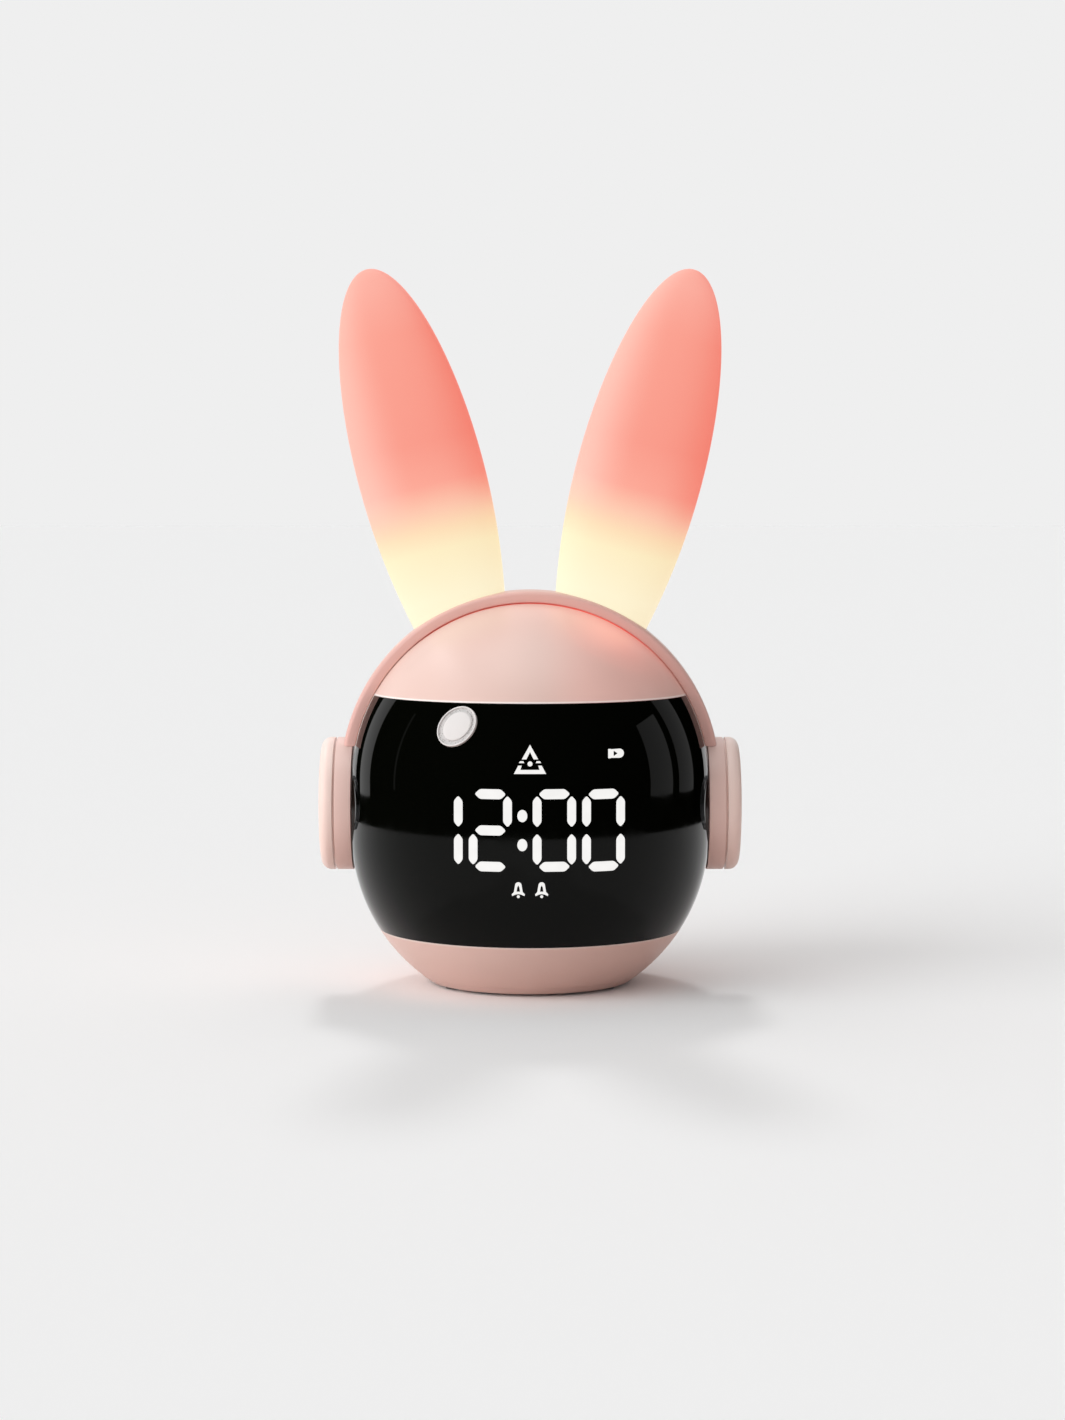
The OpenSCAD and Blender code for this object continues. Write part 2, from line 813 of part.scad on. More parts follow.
// Light-tight block with one well behind each segment and icon
module display_frame() color("#2a2a2c") difference() {
    intersection() {
        standing(-body_r, -module_back) module_outline(0);
        head_solid(visor_in_r - 2 * seat_gap);
    }
    standing(-body_r, -module_back + 1) {
        time_outline([for (i = [0:3]) ALL_SEGMENTS], 0);
        icon_outline(0);
    }
    // Room for the posts of the display board
    board_post_places() rod_y(board_post_r + seat_gap, -body_r, -module_back + 1);
}

module board_outline() {
    w = 2 * board_half;
    translate([-board_half, board_low]) polygon([
        [board_corner, 0], [w - board_corner, 0], [w, board_corner],
        [w, board_high - board_low - board_corner],
        [w - board_corner, board_high - board_low],
        [board_corner, board_high - board_low],
        [0, board_high - board_low - board_corner], [0, board_corner]]);
}

module display_board() color("#1f5b3a") difference() {
    standing(-module_back, -module_back + pcb_t) board_outline();
    board_post_places() rod_y(screw_r + 0.1, -module_back - 1, -module_back + pcb_t + 1);
}

// One lamp under each digit segment, two for the colon
module display_leds() color("#f7f3d8")
    standing(-module_back - led_t, -module_back) {
        for (x = digit_xs) translate([x, time_h - digit_h / 2]) {
            for (z = [segment_w / 2, digit_h / 2, digit_h - segment_w / 2])
                translate([digit_w / 2, z]) square(led_side, center = true);
            for (side = [0, 1], part = [1, 3])
                translate([segment_w / 2 + side * (digit_w - segment_w),
                           segment_w / 2 + part * (digit_h - segment_w) / 4])
                    rotate(90) square(led_side, center = true);
        }
        for (side = [-1, 1]) translate([-colon_x, time_h + side * colon_rise])
            rotate(90) square(led_side, center = true);
    }

// ---------- Ears ----------

// Half of a size that grows from its base value to its full value at the widest
// place and closes in an ellipse at the tip
function ear_half(s, full, base, end) =
    s > ear_wide_at
        ? full / 2 * sqrt(max(0, 1 - pow((s - ear_wide_at) / (end - ear_wide_at), 2)))
        : (full - (full - base) * pow((ear_wide_at - s) / ear_wide_at, 2)) / 2;

function sgn_pow(v, p) = sign(v) * pow(abs(v), p);

function ear_ring(s, w, t) = [for (i = [0:ear_side_points - 1])
    let (a = 360 * i / ear_side_points)
    [w * sgn_pow(cos(a), 2 / ear_power), t * sgn_pow(sin(a), 2 / ear_power), s]];

// Solid ear from start to end, thinner than the outer form by cut on all sides
module ear_form(start, end, cut) {
    stations = concat(
        [for (i = [0:ear_lower_rings - 1])
            start + (ear_wide_at - start) * i / ear_lower_rings],
        [for (i = [0:ear_upper_rings - 1])
            ear_wide_at + (end - ear_wide_at) * sin(90 * i / ear_upper_rings)]);
    rings = [for (s = stations)
        ear_ring(s, ear_half(s, ear_w - 2 * cut, ear_base_w - 2 * cut, end),
                 ear_half(s, ear_t - 2 * cut, ear_base_t - 2 * cut, end))];
    n = ear_side_points;
    last = len(stations) - 1;
    points = concat([for (ring = rings) each ring], [[0, 0, end]]);
    faces = concat(
        [[for (i = [0:n - 1]) i]],
        [for (j = [0:last - 1], i = [0:n - 1])
            [j * n + i, (j + 1) * n + i, (j + 1) * n + (i + 1) % n, j * n + (i + 1) % n]],
        [for (i = [0:n - 1]) [last * n + i, len(points) - 1, last * n + (i + 1) % n]]);
    polyhedron(points, faces);
}

module ear(side) color("#f8a79a") difference() {
    union() {
        difference() {
            at_ear(side) ear_form(-8, ear_len, 0);
            translate([0, big / 2, upper_h]) rotate([90, 0, 0])
                cylinder(r = band_out_r + seat_gap, h = big);
        }
        at_ear(side) {
            translate([0, 0, -tenon_len]) linear_extrude(tenon_len + ear_floor - 1)
                stadium(tenon_w, tenon_t);
            translate([0, 0, -flange_at - tenon_flange]) linear_extrude(tenon_flange)
                stadium(tenon_w + 2 * tenon_flange, tenon_t + 2 * tenon_flange);
        }
    }
    at_ear(side) {
        ear_form(ear_floor, ear_len - ear_wall, ear_wall);
        translate([0, 0, -tenon_len - 1]) linear_extrude(tenon_len + ear_floor + 2)
            stadium(tenon_w - 2 * tenon_wall, tenon_t - 2 * tenon_wall);
    }
}

module ear_left() ear(-1);
module ear_right() ear(1);

module ear_boards() color("#1f5b3a")
    for (side = [-1, 1]) at_ear(side)
        translate([0, 0, -tenon_len - ear_pcb_t]) linear_extrude(ear_pcb_t)
            stadium(tenon_w, tenon_t);

module ear_leds() color("#fff3c8")
    for (side = [-1, 1], i = [-1:1]) at_ear(side)
        translate([i * ear_led_pitch, 0, -tenon_len + ear_led[2] / 2]) cube(ear_led, center = true);

// ---------- Side cups ----------

// Collar that fills the space between the ring and the round head
module collar(side) color("#2b2926") difference() {
    at_cup(side) translate([0, 0, neck_in]) difference() {
        cylinder(r = collar_r, h = ring_in - neck_in);
        translate([0, 0, -1]) cylinder(r = neck_r + slide_gap, h = big);
    }
    difference() {
        head_solid(body_r + seat_gap);
        at_cup(side) translate([0, 0, ring_in - collar_min]) cylinder(r = body_r, h = big);
    }
}

module collar_left() collar(-1);
module collar_right() collar(1);

// Cup housing: floor, rim, guide boss for the plunger and the neck in the shell
module cup_ring(side) color("#dcb9b0") at_cup(side) difference() {
    union() {
        translate([0, 0, ring_in]) cylinder(r = cup_r, h = ring_depth);
        translate([0, 0, neck_in]) cylinder(r = neck_r, h = ring_in - neck_in + 0.5);
        translate([0, 0, neck_in - neck_flange_t])
            cylinder(r = neck_r + neck_flange, h = neck_flange_t);
    }
    difference() {
        translate([0, 0, ring_in + ring_floor_t]) cylinder(r = cup_r - ring_wall, h = ring_depth);
        cylinder(r = plunger_r + boss_wall, h = ring_in + ring_floor_t + boss_len);
    }
    translate([0, 0, neck_in - neck_flange_t - 1])
        cylinder(r = neck_r - neck_wall, h = ring_in - neck_in + neck_flange_t + 1);
    cylinder(r = plunger_r + guide_gap, h = big);
}

module cup_ring_left() cup_ring(-1);
module cup_ring_right() cup_ring(1);

// Half section of the push cap with a rounded outer edge
module cap_section() {
    difference() {
        union() {
            translate([0, cap_rim]) square([cup_r - cap_round, cup_reach - cap_rim]);
            translate([0, cap_rim]) square([cup_r, cup_reach - cap_rim - cap_round]);
            intersection() {
                translate([cup_r - cap_round, cup_reach - cap_round]) circle(cap_round);
                translate([0, cap_rim]) square([cup_r, cup_reach - cap_rim]);
            }
        }
        translate([-1, cap_rim - 1])
            square([cup_r - ring_wall - slide_gap - cap_wall + 1, cup_reach - cap_rim - cap_wall + 1]);
    }
    // Skirt that runs inside the ring
    translate([cup_r - ring_wall - slide_gap - cap_wall, cap_rim - skirt_depth])
        square([cap_wall, skirt_depth + 0.5]);
    // Plunger to the switch
    plunger_end = side_switch_top + cap_travel + 0.1;
    translate([0, plunger_end]) square([plunger_r, cup_reach - plunger_end - cap_wall / 2]);
}

side_switch_top = neck_in - neck_flange_t + switch_t;

module cap(side) color("#eacdc4") at_cup(side) rotate_extrude() cap_section();

module cap_left() cap(-1);
module cap_right() cap(1);

// Coil spring between the ring's floor and the cap, at its pressed length
module cap_spring(side) color("#b9bcc0") {
    low = ring_in + ring_floor_t + spring_wire_r + 0.05;
    high = cup_reach - cap_wall - cap_travel - spring_wire_r - 0.1;
    count = spring_turns * spring_steps;
    points = [for (i = [0:count], k = [0:spring_sides - 1])
        let (a = 360 * i / spring_steps, b = 360 * k / spring_sides,
             r = spring_r + spring_wire_r * cos(b))
        [r * cos(a), r * sin(a), low + (high - low) * i / count + spring_wire_r * sin(b)]];
    at_cup(side) polyhedron(points, tube_faces(count, spring_sides));
}

module cap_spring_left() cap_spring(-1);
module cap_spring_right() cap_spring(1);

module side_boards() color("#1f5b3a")
    for (side = [-1, 1]) at_cup(side)
        translate([0, 0, neck_in - neck_flange_t - pcb_t]) cylinder(r = side_board_r, h = pcb_t);

// Push switch with its base at the origin, acting along +Z
module push_switch() {
    body_t = switch_t - 0.9;
    translate([-switch_w / 2, -switch_w / 2, 0]) cube([switch_w, switch_w, body_t]);
    translate([0, 0, body_t]) cylinder(r = 1.7, h = switch_t - body_t);
}

module side_switches() color("#3a3a3d")
    for (side = [-1, 1]) at_cup(side)
        translate([0, 0, neck_in - neck_flange_t]) push_switch();

// ---------- Back panel ----------

module panel_post_places() {
    translate([0, 0, bay_z]) four(panel_post_x, panel_post_z) children();
}

module rear_panel() color("#e6c0b5") difference() {
    union() {
        standing(panel_back + touch_gap, panel_y) bay_outline(-seat_gap);
        panel_post_places() rod_y(panel_post_r, key_pcb_front, panel_back + 0.5);
    }
    for (x = key_xs) translate([x, 0, key_row_z]) rod_y(key_r + slide_gap, panel_back - 1, panel_y + 1);
    standing(panel_back - 1, panel_y + 1) {
        translate([-slider_x + slider_travel / 2, slider_z])
            square([nub[0] + slider_travel + 2 * slide_gap, nub[1] + 2 * slide_gap], center = true);
        translate([usb_x, usb_z]) stadium(usb_w + 0.5, usb_h + 0.5);
    }
    translate([-1, 0, bay_z - reset_drop]) rod_y(reset_r, panel_back - 1, panel_y + 1);
    panel_tab_places() {
        rod_y(screw_r + 0.1, panel_back - 1, panel_y + 1);
        rod_y(head_r + 0.2, panel_y - head_t, panel_y + 1);
    }
}

// Key with a round cap, a retaining flange and a domed tip
module key(x) color("#f4ebe7") translate([x, 0, key_row_z]) {
    inner_end = key_switch_top + key_travel + 0.05;
    rod_y(key_r, inner_end, key_tip - 0.5);
    translate([0, key_tip - 0.5, 0]) rotate([-90, 0, 0])
        cylinder(r1 = key_r, r2 = key_r - 0.5, h = 0.5);
    rod_y(key_r + key_flange, inner_end, inner_end + key_flange_t);
}

key_switch_top = key_pcb_front + switch_t;

module key_mode() key(key_xs[0]);
module key_set() key(key_xs[1]);
module key_up() key(key_xs[2]);
module key_down() key(key_xs[3]);

module key_board() color("#1f5b3a")
    standing(key_pcb_front - pcb_t, key_pcb_front)
        translate([0, bay_z]) rounded_rect(bay_w - 4.6, bay_h - 4.6, 3);

module key_switches() color("#3a3a3d")
    for (x = key_xs) translate([x, key_pcb_front, key_row_z]) rotate([-90, 0, 0]) push_switch();

// Slider: a nub in the panel's slot on a plate behind the panel
module power_slider() color("#f4ebe7") translate([-slider_x, 0, slider_z]) {
    standing(panel_back - 1.2, panel_y + 0.9) square(nub, center = true);
    standing(panel_back - 1.2, panel_back - 0.2)
        square([nub[0] + slider_travel + 3, nub[1] + 2.4], center = true);
}

module slide_switch() color("#b4b6b8")
    standing(key_pcb_front, panel_back - 1.4)
        translate([-slider_x + slider_travel / 2, slider_z])
            square([8.6, 4.4], center = true);

// Charging socket: a thin shell with a contact tongue inside
module usb_socket() color("#c4c7ca") {
    standing(key_pcb_front, key_pcb_front + usb_depth) translate([usb_x, usb_z]) difference() {
        stadium(usb_w, usb_h);
        stadium(usb_w - 2 * usb_wall, usb_h - 2 * usb_wall);
    }
    standing(key_pcb_front, key_pcb_front + 0.8) translate([usb_x, usb_z]) stadium(usb_w, usb_h);
    standing(key_pcb_front, key_pcb_front + usb_depth - 0.8) translate([usb_x, usb_z])
        square([usb_w - 2.4, 0.7], center = true);
}

// ---------- Inner pieces ----------

module main_board() color("#1f5b3a") difference() {
    standing(main_y - pcb_t, main_y)
        translate([-main_half, main_low]) square([2 * main_half, main_high - main_low]);
    for (x = [-main_post_x, main_post_x], z = main_post_z)
        translate([x, 0, z]) rod_y(screw_r + 0.1, main_y - pcb_t - 1, main_y + 1);
}

// Chips, connectors and the clock's coin cell on the front of the main board
module main_chips() color("#29292c") {
    standing(board_face - chip_t, board_face)
        for (c = chips) translate([c[0], mid_h + c[1]]) square([c[2], c[3]], center = true);
    standing(board_face - connector_t, board_face)
        for (c = connectors) translate([c[0], mid_h + c[1]]) square([c[2], c[3]], center = true);
    translate([12, 0, mid_h - 3]) rod_y(coin_r, board_face - coin_t, board_face);
}

// Speaker: basket, cone and magnet in one bought-in unit
module speaker() color("#3c3d40") at_speaker() rotate_extrude() polygon([
    [0, speaker_seat - speaker_deep], [6.5, speaker_seat - speaker_deep],
    [6.5, speaker_seat - 4.2],
    [speaker_r - 1.6, speaker_seat - 1.6], [speaker_r, speaker_seat - 1.6],
    [speaker_r, speaker_seat - 0.05], [speaker_r - 1.2, speaker_seat - 0.05],
    [5, speaker_seat - 2.6], [3.4, speaker_seat - 1.6], [0, speaker_seat - 0.8]]);

// Ring that holds the speaker down in its sleeve
module speaker_clip() color("#d9d4cf") at_speaker()
    translate([0, 0, speaker_seat - 3.3]) difference() {
        cylinder(r = speaker_r - 0.05, h = 1.6);
        translate([0, 0, -1]) cylinder(r = speaker_r - 1.5, h = 4);
    }

module battery() color("#5f7fae")
    translate([-battery_len / 2, -battery_wid / 2, battery_top - battery_t])
        cube([battery_len, battery_wid, battery_t]);

// Lead from each ear's board to the connector at the top of the main board
module ear_leads() color("#c84a3c")
    for (side = [-1, 1]) {
        start = [ear_x, 0, ear_h] - (tenon_len + ear_pcb_t + lead_gap) * ear_axis;
        plug = [ear_plug_x, connector_y,
                mid_h + connectors[2][1] + connectors[2][3] / 2 + lead_gap];
        mirror([side < 0 ? 1 : 0, 0, 0])
            lead([start, start - ear_lead_run * ear_axis, plug + [0, 0, ear_plug_run], plug]);
    }

ear_axis = [sin(ear_tilt), 0, cos(ear_tilt)];
connector_y = board_face - connector_t / 2;
lead_gap = 0.05;
// Where the leads start, and how far they run straight from their ends
ear_lead_run = 8;
ear_plug_x = 3;
ear_plug_run = 10;
side_lead_run = 8;
side_lead_drop = 4;
display_lead_run = 14;
display_lead_rise = 6;
speaker_lead_run = 5;
speaker_plug_drop = 13;
battery_exit = [10, 6];
battery_plug_x = 12;
battery_lead_run = 6;

module side_leads() color("#e2e2e0")
    for (side = [-1, 1]) mirror([side < 0 ? 1 : 0, 0, 0]) {
        run = [side_lead_run, 0, 0];
        start = [neck_in - neck_flange_t - pcb_t - lead_gap, 0, cup_h - side_lead_drop];
        plug = [connectors[1][0] + connectors[1][2] / 2 + lead_gap, connector_y,
                mid_h + connectors[1][1]];
        lead([start, start - run, plug + run, plug]);
    }

module display_lead() color("#cfcfcf") {
    run = [0, display_lead_run, 0];
    start = [0, -module_back + pcb_t + lead_gap, mid_h + display_lead_rise];
    plug = [0, board_face - chip_t - lead_gap, mid_h + chips[0][1]];
    lead([start, start + run, plug - run, plug]);
}

module speaker_lead() color("#c84a3c") {
    back = speaker_seat - speaker_deep - lead_gap;
    run = speaker_lead_run * [0, cos(speaker_tilt), -sin(speaker_tilt)];
    start = [0, back * cos(speaker_tilt), lower_h - back * sin(speaker_tilt)];
    plug = [0, main_y + lead_gap, mid_h - speaker_plug_drop];
    lead([start, start - run, plug + [0, speaker_lead_run, 0], plug]);
}

module battery_lead() color("#c84a3c") {
    run = [0, 0, battery_lead_run];
    start = [battery_exit[0], battery_exit[1], battery_top + lead_gap];
    plug = [battery_plug_x, connector_y,
            mid_h + connectors[1][1] - connectors[1][3] / 2 - lead_gap];
    lead([start, start + run, plug - run, plug]);
}

// ---------- Fasteners ----------

module shell_screws() color("#a9abae")
    post_places() translate([0, head_depth, 0]) rotate([-90, 0, 0]) screw(head_depth + 10);

module base_screws() color("#a9abae")
    base_screw_places() translate([0, 0, base_head_z]) rotate([180, 0, 0]) screw(floor_t + 0.4);

module panel_screws() color("#a9abae")
    panel_tab_places() translate([0, panel_y - head_t, 0]) rotate([-90, 0, 0])
        screw(panel_t - head_t + lip_t);

// Screws of the display board and the main board
module board_screws() color("#a9abae") {
    board_post_places() translate([0, -module_back + pcb_t, 0]) rotate([-90, 0, 0])
        screw(pcb_t + 2.6);
    for (x = [-main_post_x, main_post_x], z = main_post_z)
        translate([x, main_y - pcb_t, z]) rotate([90, 0, 0]) screw(pcb_t + 5);
}

front_shell();
rear_shell();
base_plate();
rubber_feet();
headband();
visor();
touch_pad();
time_segments();
status_icons();
display_frame();
display_board();
display_leds();
ear_left();
ear_right();
ear_boards();
ear_leds();
collar_left();
collar_right();
cup_ring_left();
cup_ring_right();
cap_left();
cap_right();
cap_spring_left();
cap_spring_right();
side_boards();
side_switches();
rear_panel();
key_mode();
key_set();
key_up();
key_down();
power_slider();
slide_switch();
key_board();
key_switches();
usb_socket();
main_board();
main_chips();
speaker();
speaker_clip();
battery();
ear_leads();
side_leads();
display_lead();
speaker_lead();
battery_lead();
shell_screws();
base_screws();
panel_screws();
board_screws();
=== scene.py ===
import math

import bmesh
import bpy
from mathutils import Matrix, Vector


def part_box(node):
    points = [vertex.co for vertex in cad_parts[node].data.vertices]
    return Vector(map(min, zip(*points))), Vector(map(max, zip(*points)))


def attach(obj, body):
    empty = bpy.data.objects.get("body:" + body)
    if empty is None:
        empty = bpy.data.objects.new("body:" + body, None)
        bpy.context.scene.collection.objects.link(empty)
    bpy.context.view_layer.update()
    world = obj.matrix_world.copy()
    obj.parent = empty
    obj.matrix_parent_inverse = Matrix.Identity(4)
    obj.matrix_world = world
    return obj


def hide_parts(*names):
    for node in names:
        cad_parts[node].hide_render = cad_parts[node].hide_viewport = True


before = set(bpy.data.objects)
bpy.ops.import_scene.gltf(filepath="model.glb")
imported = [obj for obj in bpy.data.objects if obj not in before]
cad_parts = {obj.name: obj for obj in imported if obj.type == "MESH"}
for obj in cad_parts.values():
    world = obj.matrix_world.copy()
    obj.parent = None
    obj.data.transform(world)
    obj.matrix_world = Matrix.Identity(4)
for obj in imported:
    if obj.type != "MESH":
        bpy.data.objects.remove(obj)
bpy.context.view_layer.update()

# ---------------------------------------------------------------- Camera
# Stands 0.8 m in front of the clock, a little above the head, and looks down by four degrees, as
# one looks at a clock on a desk. The lens is a long one for its 36 mm film.
MM = 0.001
CAMERA_AWAY = 798.05 * MM
CAMERA_HIGH = 131.2 * MM
CAMERA_ASIDE = 0.65 * MM
CAMERA_PITCH = 4
LENS = 73.36
FILM_WIDTH = 36

bpy.ops.object.camera_add(
    location=(CAMERA_ASIDE, -CAMERA_AWAY, CAMERA_HIGH),
    rotation=(math.radians(90 - CAMERA_PITCH), 0, 0),
)
camera = bpy.context.object
camera.name = "camera"
camera.data.sensor_width = FILM_WIDTH
camera.data.lens = LENS
camera.data.clip_end = 100
bpy.context.scene.camera = camera
bpy.context.scene.view_settings.view_transform = "Standard"


# ---------------------------------------------------------------- Floor and studio light
# A plain pale floor under a soft sky that is dimmer on the right. A broad lamp stands at the left
# front, and a weak one behind lays the clock's shadow on the floor in front of it.
def linear(colour):
    """An sRGB hex colour as linear red, green, blue and alpha."""
    parts = [int(colour[i:i + 2], 16) / 255 for i in (1, 3, 5)]
    return [p / 12.92 if p <= 0.04045 else ((p + 0.055) / 1.055) ** 2.4 for p in parts] + [1.0]


def add_node(tree, kind, settings=None, inputs=None):
    """Adds a node; an input is given a number, a colour or another node's output."""
    node = tree.nodes.new(kind)
    for name, value in (settings or {}).items():
        setattr(node, name, value)
    for name, value in (inputs or {}).items():
        if isinstance(value, bpy.types.NodeSocket):
            tree.links.new(value, node.inputs[name])
        else:
            node.inputs[name].default_value = value
    return node


def empty_tree(owner):
    """The owner's node tree, with nothing in it."""
    owner.use_nodes = True
    owner.node_tree.nodes.clear()
    return owner.node_tree


def shown(tree):
    """1 for the rays by which the camera, a mirror or clear plastic sees, 0 for soft light."""
    rays = add_node(tree, "ShaderNodeLightPath")
    direct = add_node(tree, "ShaderNodeMath", {"operation": "MAXIMUM"},
                      {0: rays.outputs["Is Camera Ray"], 1: rays.outputs["Is Glossy Ray"]})
    return add_node(tree, "ShaderNodeMath", {"operation": "MAXIMUM"},
                    {0: direct.outputs[0], 1: rays.outputs["Is Transmission Ray"]}).outputs[0]


BACKGROUND = "#efefef"
SKY_LEFT = 0.874
SKY_RIGHT = 0.265
world = bpy.data.worlds.new("studio")
bpy.context.scene.world = world
tree = empty_tree(world)
dome = add_node(tree, "ShaderNodeTexCoord")
dome = add_node(tree, "ShaderNodeSeparateXYZ", None, {0: dome.outputs["Generated"]})
level = add_node(tree, "ShaderNodeMapRange", None,
                 {"Value": dome.outputs[0], "From Min": -1, "From Max": 1,
                  "To Min": SKY_LEFT, "To Max": SKY_RIGHT})
sky = add_node(tree, "ShaderNodeBackground", None,
               {"Color": linear("#ffffff"), "Strength": level.outputs[0]})
backdrop = add_node(tree, "ShaderNodeBackground", None,
                    {"Color": linear(BACKGROUND), "Strength": 1})
mixed = add_node(tree, "ShaderNodeMixShader", None,
                 {0: shown(tree), 1: sky.outputs[0], 2: backdrop.outputs[0]})
add_node(tree, "ShaderNodeOutputWorld", None, {"Surface": mixed.outputs[0]})

# Matt paint shows no gloss: pale to the eye and in reflections, but greyer and warmer to the soft
# light that it sends back up
FLOOR_WHITE = "#fafafa"
FLOOR_BOUNCE = "#d8c2bc"
floor_paint = bpy.data.materials.new("matt_floor_paint")
tree = empty_tree(floor_paint)
white = add_node(tree, "ShaderNodeMix", {"data_type": "RGBA"}, {"Factor": shown(tree)})
white.inputs["A"].default_value = linear(FLOOR_BOUNCE)
white.inputs["B"].default_value = linear(FLOOR_WHITE)
paint = add_node(tree, "ShaderNodeBsdfDiffuse", None, {"Color": white.outputs["Result"]})
add_node(tree, "ShaderNodeOutputMaterial", None, {"Surface": paint.outputs[0]})
bpy.ops.mesh.primitive_plane_add(size=40)
floor = bpy.context.object
floor.name = "floor"
floor.data.materials.append(floor_paint)


def sun(name, towards, strength, spread):
    """A lamp far away that shines from the given side; spread is its width in degrees."""
    bpy.ops.object.light_add(type="SUN")
    lamp = bpy.context.object
    lamp.name = name
    lamp.rotation_euler = Vector(towards).to_track_quat("Z", "Y").to_euler()
    lamp.data.energy = strength
    lamp.data.angle = math.radians(spread)
    return lamp


key_lamp = sun("key_lamp", (-0.82, -0.50, 0.30), 1.98, 55)
key_lamp.visible_glossy = False
shadow_lamp = sun("shadow_lamp", (-0.05, 1, 1), 0.6, 8)
shadow_lamp.visible_glossy = False

# A dark hood round the clock, open at the back and seen in reflections alone: the glossy window
# mirrors black above and the pale floor below, as on a product set with black flags.
HOOD_R = 0.4405
HOOD_TOP = 0.9
HOOD_BACK = 0.36


def studio_cloth(name, level):
    """Cloth that shines evenly at the given level, as over a softbox; at 0 it is a black flag."""
    material = bpy.data.materials.new(name)
    tree = empty_tree(material)
    shine = add_node(tree, "ShaderNodeEmission", None,
                     {"Color": linear("#ffffff"), "Strength": level})
    add_node(tree, "ShaderNodeOutputMaterial", None, {"Surface": shine.outputs[0]})
    return material


def reflected_only(thing):
    """Hides a stage piece from everything but reflections."""
    thing.visible_camera = False
    thing.visible_diffuse = False
    thing.visible_transmission = False
    thing.visible_shadow = False


def fresh():
    """Deselects everything, so that an operator acts on the next primitive alone."""
    if bpy.context.object and bpy.context.object.mode == "EDIT":
        bpy.ops.object.mode_set(mode="OBJECT")
    bpy.ops.object.select_all(action="DESELECT")


def open_piece(piece):
    """Selects one piece and opens it in edit mode."""
    fresh()
    piece.select_set(True)
    bpy.context.view_layer.objects.active = piece
    bpy.ops.object.mode_set(mode="EDIT")


def close_piece():
    """Leaves edit mode and gives the piece."""
    bpy.ops.object.mode_set(mode="OBJECT")
    return bpy.context.object


def pick(test, kind="FACE"):
    """In edit mode, selects the faces, edges or vertices whose middle passes the test."""
    bpy.ops.mesh.select_mode(type=kind)
    bpy.ops.mesh.select_all(action="DESELECT")
    mesh = bmesh.from_edit_mesh(bpy.context.object.data)
    if kind == "VERT":
        for point in mesh.verts:
            point.select_set(test(point.co))
    elif kind == "EDGE":
        for edge in mesh.edges:
            edge.select_set(test((edge.verts[0].co + edge.verts[1].co) / 2))
    else:
        for face in mesh.faces:
            face.select_set(test(face.calc_center_median()))
    mesh.select_flush_mode()
    bmesh.update_edit_mesh(bpy.context.object.data)


bpy.ops.mesh.primitive_cylinder_add(vertices=128, radius=HOOD_R, depth=HOOD_TOP,
                                    end_fill_type="NOTHING", location=(0, 0, HOOD_TOP / 2))
hood = bpy.context.object
hood.name = "black_flags"
open_piece(hood)
pick(lambda p: p.y > HOOD_BACK)
bpy.ops.mesh.delete(type="FACE")
close_piece()
hood.data.materials.append(studio_cloth("black_flag_cloth", 0.0))
reflected_only(hood)


def softbox(name, turn, width, low, high, level):
    """A strip light just inside the hood; turn is degrees from the front towards the left."""
    inside = HOOD_R - 0.01
    bpy.ops.mesh.primitive_plane_add(size=1)
    strip = bpy.context.object
    strip.name = name
    angle = math.radians(turn)
    strip.dimensions = (2 * inside * math.tan(math.radians(width / 2)), high - low, 0)
    strip.rotation_euler = (math.radians(90), 0, -angle)
    strip.location = (-inside * math.sin(angle), -inside * math.cos(angle), (low + high) / 2)
    strip.data.materials.append(studio_cloth(name + "_diffuser", level))
    reflected_only(strip)


softbox("left_strip", 126, 16, 0.013, 0.50, 0.9)
softbox("left_slit", 91, 1.5, 0.020, 0.30, 0.3)
softbox("right_card", -88, 20, 0.0155, 0.28, 0.75)
softbox("right_strip", -113.5, 18, 0.0155, 0.45, 0.45)
softbox("back_left", 161, 14, 0.33, 0.46, 1.8)
softbox("back_right", -161, 14, 0.33, 0.46, 1.8)
bpy.ops.mesh.primitive_plane_add(size=0.5, location=(-0.05, -0.05, 0.85))
overhead = bpy.context.object
overhead.name = "overhead_softbox"
overhead.data.materials.append(studio_cloth("overhead_diffuser", 1.6))
reflected_only(overhead)

# A long card high on the left lays a soft pale streak on the dome
bpy.ops.mesh.primitive_plane_add(size=1, location=(-0.37, 0.17, 0.55))
streak = bpy.context.object
streak.name = "left_top_card"
streak.dimensions = (0.13, 0.5, 0)
streak.rotation_euler = (0, math.radians(37), 0)
streak.data.materials.append(studio_cloth("left_top_diffuser", 7.0))
reflected_only(streak)


# ---------------------------------------------------------------- Head shells
# Two halves of injection-moulded ABS, satin pink, parted in the plane of the ears and screwed
# together from behind. The head is a ball split at its middle and drawn out upwards a little.
shell_low, shell_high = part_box("front_shell")
window_low, window_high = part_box("visor")
cup_low, cup_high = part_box("cup_ring_right")
FLOOR_Z = shell_low.z
BALL_R = -window_low.y
WAIST = 14.6 * MM
UPPER = shell_high.z - BALL_R
LOWER = UPPER - WAIST
MIDDLE = (UPPER + LOWER) / 2
CUP_Z = (cup_low.z + cup_high.z) / 2
CUP_R = cup_high.y
BAND_HALF = 8.3 * MM
CHEEK_Y = -BAND_HALF - 0.45 * MM
SHELL_WALL = 2.6 * MM
FLOOR_HOLE_R = 22.5 * MM
HEAD_STEPS = 192
TINY = 0.01 * MM


def slice_at(point, normal, drop=False):
    """In edit mode, cuts the whole piece by a plane; drop removes the side the normal shows."""
    bpy.ops.mesh.select_all(action="SELECT")
    bpy.ops.mesh.bisect(plane_co=point, plane_no=normal, clear_outer=drop)


